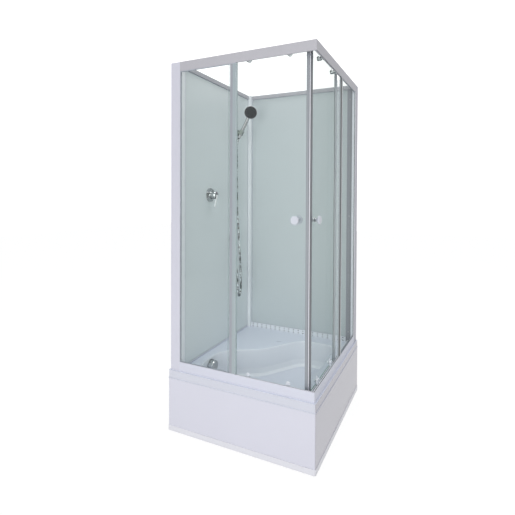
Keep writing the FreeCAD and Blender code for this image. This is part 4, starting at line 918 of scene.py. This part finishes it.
# Chrome fittings.
# Most fittings are polished chrome, clouded faintly by dried water and painted darker towards their edges as
# a painted dark reflection. The mixer's lever and the front rollers are painted nearly white as a painted
# highlight, and the valve behind the wall is cast brass.
def chrome_finish(name, colour, rough):
    finish = Finish(name)
    smear = finish.noise(scale=30.0, detail=3.0)
    slant = finish.node("LayerWeight", {"Blend": 0.5}, out="Facing")
    # Painted reflection: the colour darkens where the surface turns away from the view; the smear is dried
    # water.
    tint = finish.mixed(smear * 0.1 + slant ** 1.5, colour, dimmed(colour, 0.22))
    return finish.close(finish.surface(base_color=tint, metallic=1.0, roughness=smear * 0.08 + rough))


def painted_highlight_chrome_finish(name):
    """A gloss painted mostly white, as a painted highlight on fittings that face the light."""
    finish = Finish(name)
    smear = finish.noise(scale=30.0, detail=3.0)
    tint = finish.mixed(smear, white, (0.93, 0.94, 0.95))
    return finish.close(finish.surface(base_color=tint, metallic=0.3, roughness=smear * 0.08 + 0.1))


chrome = chrome_finish("chrome", (0.66, 0.675, 0.685), 0.06)
dress(["mixer_lever", "roller_carriers_front"], painted_highlight_chrome_finish("painted_highlight_chrome"))
dress(
    [
        "roller_carriers_right",
        "mixer_escutcheon",
        "mixer_cap",
        "wall_outlet",
        "cone_nut",
        "overflow_rosette",
        "overflow_knob",
        "drain_flange",
        "drain_plug",
        "handset_body",
    ],
    chrome,
)
dress(["mixer_valve"], zinc_finish("cast_brass", (0.62, 0.48, 0.22)))


# Feed pipe.
# The mixer feeds the wall outlet through a flexible pipe in a woven steel sleeve, whose
# strands cross at a slant.
strands_up, strands_across = 1800.0, 900.0


def braid_finish():
    finish = Finish("steel_braid")
    up, side = finish.axis("Z"), finish.axis("Y")
    rising = (up * strands_up + side * strands_across).wave()
    falling = (up * strands_up - side * strands_across).wave()
    weave = (rising * falling) * 0.5 + 0.5
    colour = finish.mixed(weave, (0.30, 0.31, 0.32), (0.66, 0.67, 0.68))
    return finish.close(
        finish.surface(
            base_color=colour,
            metallic=0.9,
            roughness=weave * 0.2 + 0.28,
            normal=finish.bump(weave, distance=0.0004, strength=0.6),
        )
    )


dress(["feed_pipe"], braid_finish())


# Door rollers.
# Each door hangs on two bodies with white wheels and capped ends. A hexagon socket in the
# inner cap turns the cam that lifts the door.
roller_places = (0.046, 0.280)
roller_height = 2.075
inner_cap_face, outer_cap_face = -0.3875, -0.4070
inward, outward = (0, 1, 0), (0, -1, 0)


def ring_profile(inner, outer, length, edge):
    """The closed profile of a ring with eased edges."""
    return [
        (0, inner),
        (0, outer - edge),
        (edge, outer),
        (length - edge, outer),
        (length, outer - edge),
        (length, inner),
        (0, inner),
    ]


def draw_roller_rings(made):
    inner_ring = ring_profile(0.0070, 0.0112, 0.0007, 0.0003)
    outer_ring = ring_profile(0.0092, 0.0122, 0.0012, 0.0004)
    for x in roller_places:
        spun(made, inner_ring, (x, inner_cap_face, roller_height), inward, segments=36)
        spun(made, outer_ring, (x, outer_cap_face, roller_height), outward, segments=36)


def draw_roller_sockets(made):
    socket = [(0, 0), (0, 0.0046), (0.0003, 0.0044), (0.0003, 0)]
    for x in roller_places:
        spun(made, socket, (x, inner_cap_face, roller_height), inward, segments=6)


corner_pair("roller_rings", draw_roller_rings, chrome, doors)
corner_pair("roller_sockets", draw_roller_sockets, dark_rubber, doors)
white_acetal = moulded_finish("white_acetal", linear(228, 230, 234))
dress(["wheel_front_near", "wheel_front_far", "wheel_right_near", "wheel_right_far"], white_acetal)


# Door guides.
# A white clip at each end of the door's foot runs in the sill's groove. It has a ribbed
# button with a chromed screw on the inside, and a domed cap on the pane's outside.
guide_height, guide_cap_height = 0.382, 0.397
button_face, button_middle = -0.3826, -0.3868
button_radius, button_ribs = 0.0099, 16
pane_inside, pane_outside = -0.3905, -0.3945


def draw_guide_screws(made):
    screw = [(0, 0.0), (0, 0.0048), (0.0005, 0.0047), (0.0012, 0.0038), (0.0015, 0.0)]
    for x in roller_places:
        spun(made, screw, (x, button_face, guide_height), inward, segments=24)


def draw_guide_ribs(made):
    """Finger ribs round the inside button."""
    rib = [(-0.003, 0.0), (-0.0026, 0.0007), (0.0026, 0.0007), (0.003, 0.0)]
    for x in roller_places:
        for out in spokes(Vector((1, 0, 0)), Vector((0, 0, 1)), button_ribs):
            centre = Vector((x, button_middle, guide_height)) + out * button_radius
            spun(made, rib, centre, inward, segments=6)


def draw_guide_caps(made):
    """Domed cap on the outer face of the pane."""
    dome = [(0, 0.0), (0, 0.0112), (0.0012, 0.0115), (0.0026, 0.0100), (0.0036, 0.0060), (0.0040, 0.0)]
    for x in roller_places:
        spun(made, dome, (x, pane_outside, guide_cap_height), outward, segments=32)


guide_white = moulded_finish("guide_white", linear(246, 249, 255), rough=0.2)
dress(["guide_clips_front", "guide_clips_right"], guide_white)
corner_pair("guide_screws", draw_guide_screws, chrome, doors)
corner_pair("guide_ribs", draw_guide_ribs, guide_white, doors)
corner_pair("guide_caps", draw_guide_caps, guide_white, doors)


# Door knobs.
# Two glossy white flared discs are screwed through each door. A chromed collar sits
# against the glass on each side of it.
knob_place = (0.320, 1.235)


def draw_knob_collars(made):
    x, z = knob_place
    collar = ring_profile(0.0088, 0.0118, 0.0048, 0.0007)
    spun(made, collar, (x, pane_outside, z), outward, segments=40)
    spun(made, collar, (x, pane_inside, z), inward, segments=40)


knob_gloss = acrylic_finish("knob_gloss", linear(207, 211, 220), 0.16)
dress(["door_knob_front", "door_knob_right"], knob_gloss)
corner_pair("knob_collars", draw_knob_collars, chrome, doors)


# Mixer.
# A chromed cap on a round plate turns for heat, and its lever lifts for flow. Red and
# blue marks on the cap tell hot from cold, and a fine ring trims the sleeve.
mixer_face = (-0.3347, -0.131, 1.3735)
mark_radius, mark_sunk, mark_proud = 0.0032, 0.0002, 0.0004
mark_steps = 14
from_left_wall = (1, 0, 0)


def half_disc(name, colour, side):
    made = bmesh.new()
    x, y, z = mixer_face
    angles = [math.pi * k / mark_steps for k in range(mark_steps + 1)]
    rim = [(y + side * mark_radius * math.sin(a), z + mark_radius * math.cos(a)) for a in angles]
    low = [made.verts.new((x - mark_sunk, v, w)) for v, w in rim]
    high = [made.verts.new((x + mark_proud, v, w)) for v, w in rim]
    made.faces.new(low)
    made.faces.new(high)
    for k in range(len(rim)):
        after = (k + 1) % len(rim)
        made.faces.new((low[k], low[after], high[after], high[k]))
    add_piece(name, mesh_of(name, made), moulded_finish(name + "_enamel", colour), "mixer_cap")


def spun_piece(name, profile, base, axis, segments, material, body):
    """A new piece that is one solid of revolution."""
    made = bmesh.new()
    spun(made, profile, base, axis, segments)
    add_piece(name, mesh_of(name, made), material, body)


half_disc("hot_mark", linear(190, 40, 38), -1)
half_disc("cold_mark", linear(40, 80, 170), 1)
sleeve_place = (-0.3580, -0.131, 1.359)
sleeve_ring = ring_profile(0.0205, 0.0236, 0.0022, 0.0006)
spun_piece("mixer_sleeve_ring", sleeve_ring, sleeve_place, from_left_wall, 48, chrome, "cabin")


# Overflow and drain.
# The overflow's cap turns by its finger grips, and a dark ring shows the gap behind it.
# The plug closes on an O-ring.
overflow_place = (-0.3150, -0.2148, 0.304)
plug_ring_place = (*trap_place, 0.1832)
plug_ring_radius, plug_ring_section = 0.0200, 0.0009
gap_ring = ring_profile(0.0285, 0.0318, 0.0003, 0.0001)
o_ring = [
    (plug_ring_section * math.sin(a), plug_ring_radius + plug_ring_section * math.cos(a))
    for a in [math.pi * k / 6 for k in range(13)]
]
spun_piece("overflow_gap_ring", gap_ring, overflow_place, from_left_wall, 56, dark_rubber, "cabin")
spun_piece("plug_o_ring", o_ring, plug_ring_place, (0, 0, 1), 40, dark_rubber, "drain_plug")


# Hose nuts.
# Fine flutes round the cone nut and round the outlet's swivel nut give a wet hand grip.
nut_length = 0.022
flute_count = 18
flute_radius, flute_end = 0.0007, 0.0008
flute_shares = (0.15, 0.85)
cone_nut_way = (0.311, 0.282, 0.905)
outlet_nut_place = (-0.350, 0.122, 1.046)


def flutes(name, base, axis, radii, body):
    """Flutes along a nut, which start and end short of its ends."""
    made = bmesh.new()
    axis = Vector(axis).normalized()
    side = axis.orthogonal().normalized()
    for out in spokes(side, axis.cross(side), flute_count):
        start, end = (
            Vector(base) + axis * nut_length * share + out * (radii[0] * (1 - share) + radii[1] * share)
            for share in flute_shares
        )
        span = (end - start).length
        flute = [(0, 0), (flute_end, flute_radius), (span - flute_end, flute_radius), (span, 0)]
        spun(made, flute, start, end - start, segments=6)
    add_piece(name, mesh_of(name, made), chrome, body)


flutes("cone_nut_flutes", hose_route[0], cone_nut_way, (0.0095, 0.0115), "shower_holder")
flutes("outlet_nut_flutes", outlet_nut_place, (0, 0, -1), (0.0115, 0.0115), "cabin")


# Hand shower.
# The chromed head holds a dark plastic plate with soft nozzles in rings, which a thumb
# rubs clean of scale.
spray_centre = Vector((-0.26915, 0.19372, 1.9446))
spray_way = Vector((0.5665, -0.8240, 0.0))
nozzle_rings = ((0.0075, 6), (0.0150, 12), (0.0225, 18), (0.0300, 24), (0.0365, 30))
nozzle_profile = [(-0.0004, 0.0), (-0.0004, 0.00135), (0.0004, 0.0012), (0.0009, 0.0008), (0.0011, 0.0)]


def draw_nozzles(made):
    side = spray_way.orthogonal().normalized()
    other = spray_way.cross(side)
    spun(made, nozzle_profile, spray_centre, spray_way, segments=10)
    for radius, count in nozzle_rings:
        for out in spokes(side, other, count):
            spun(made, nozzle_profile, spray_centre + out * radius, spray_way, segments=10)


dress(["spray_face"], moulded_finish("spray_grey", linear(52, 53, 56), rough=0.6))
nozzle_rubber = moulded_finish("nozzle_rubber", linear(84, 86, 90), rough=0.6)
drawn_piece("spray_nozzles", draw_nozzles, nozzle_rubber, "shower_holder")


# Shower holder.
# The bracket and its swivelling cup are moulded in satin grey plastic.
dress(["holder_bracket", "holder_cup"], moulded_finish("holder_grey", linear(150, 158, 152)))
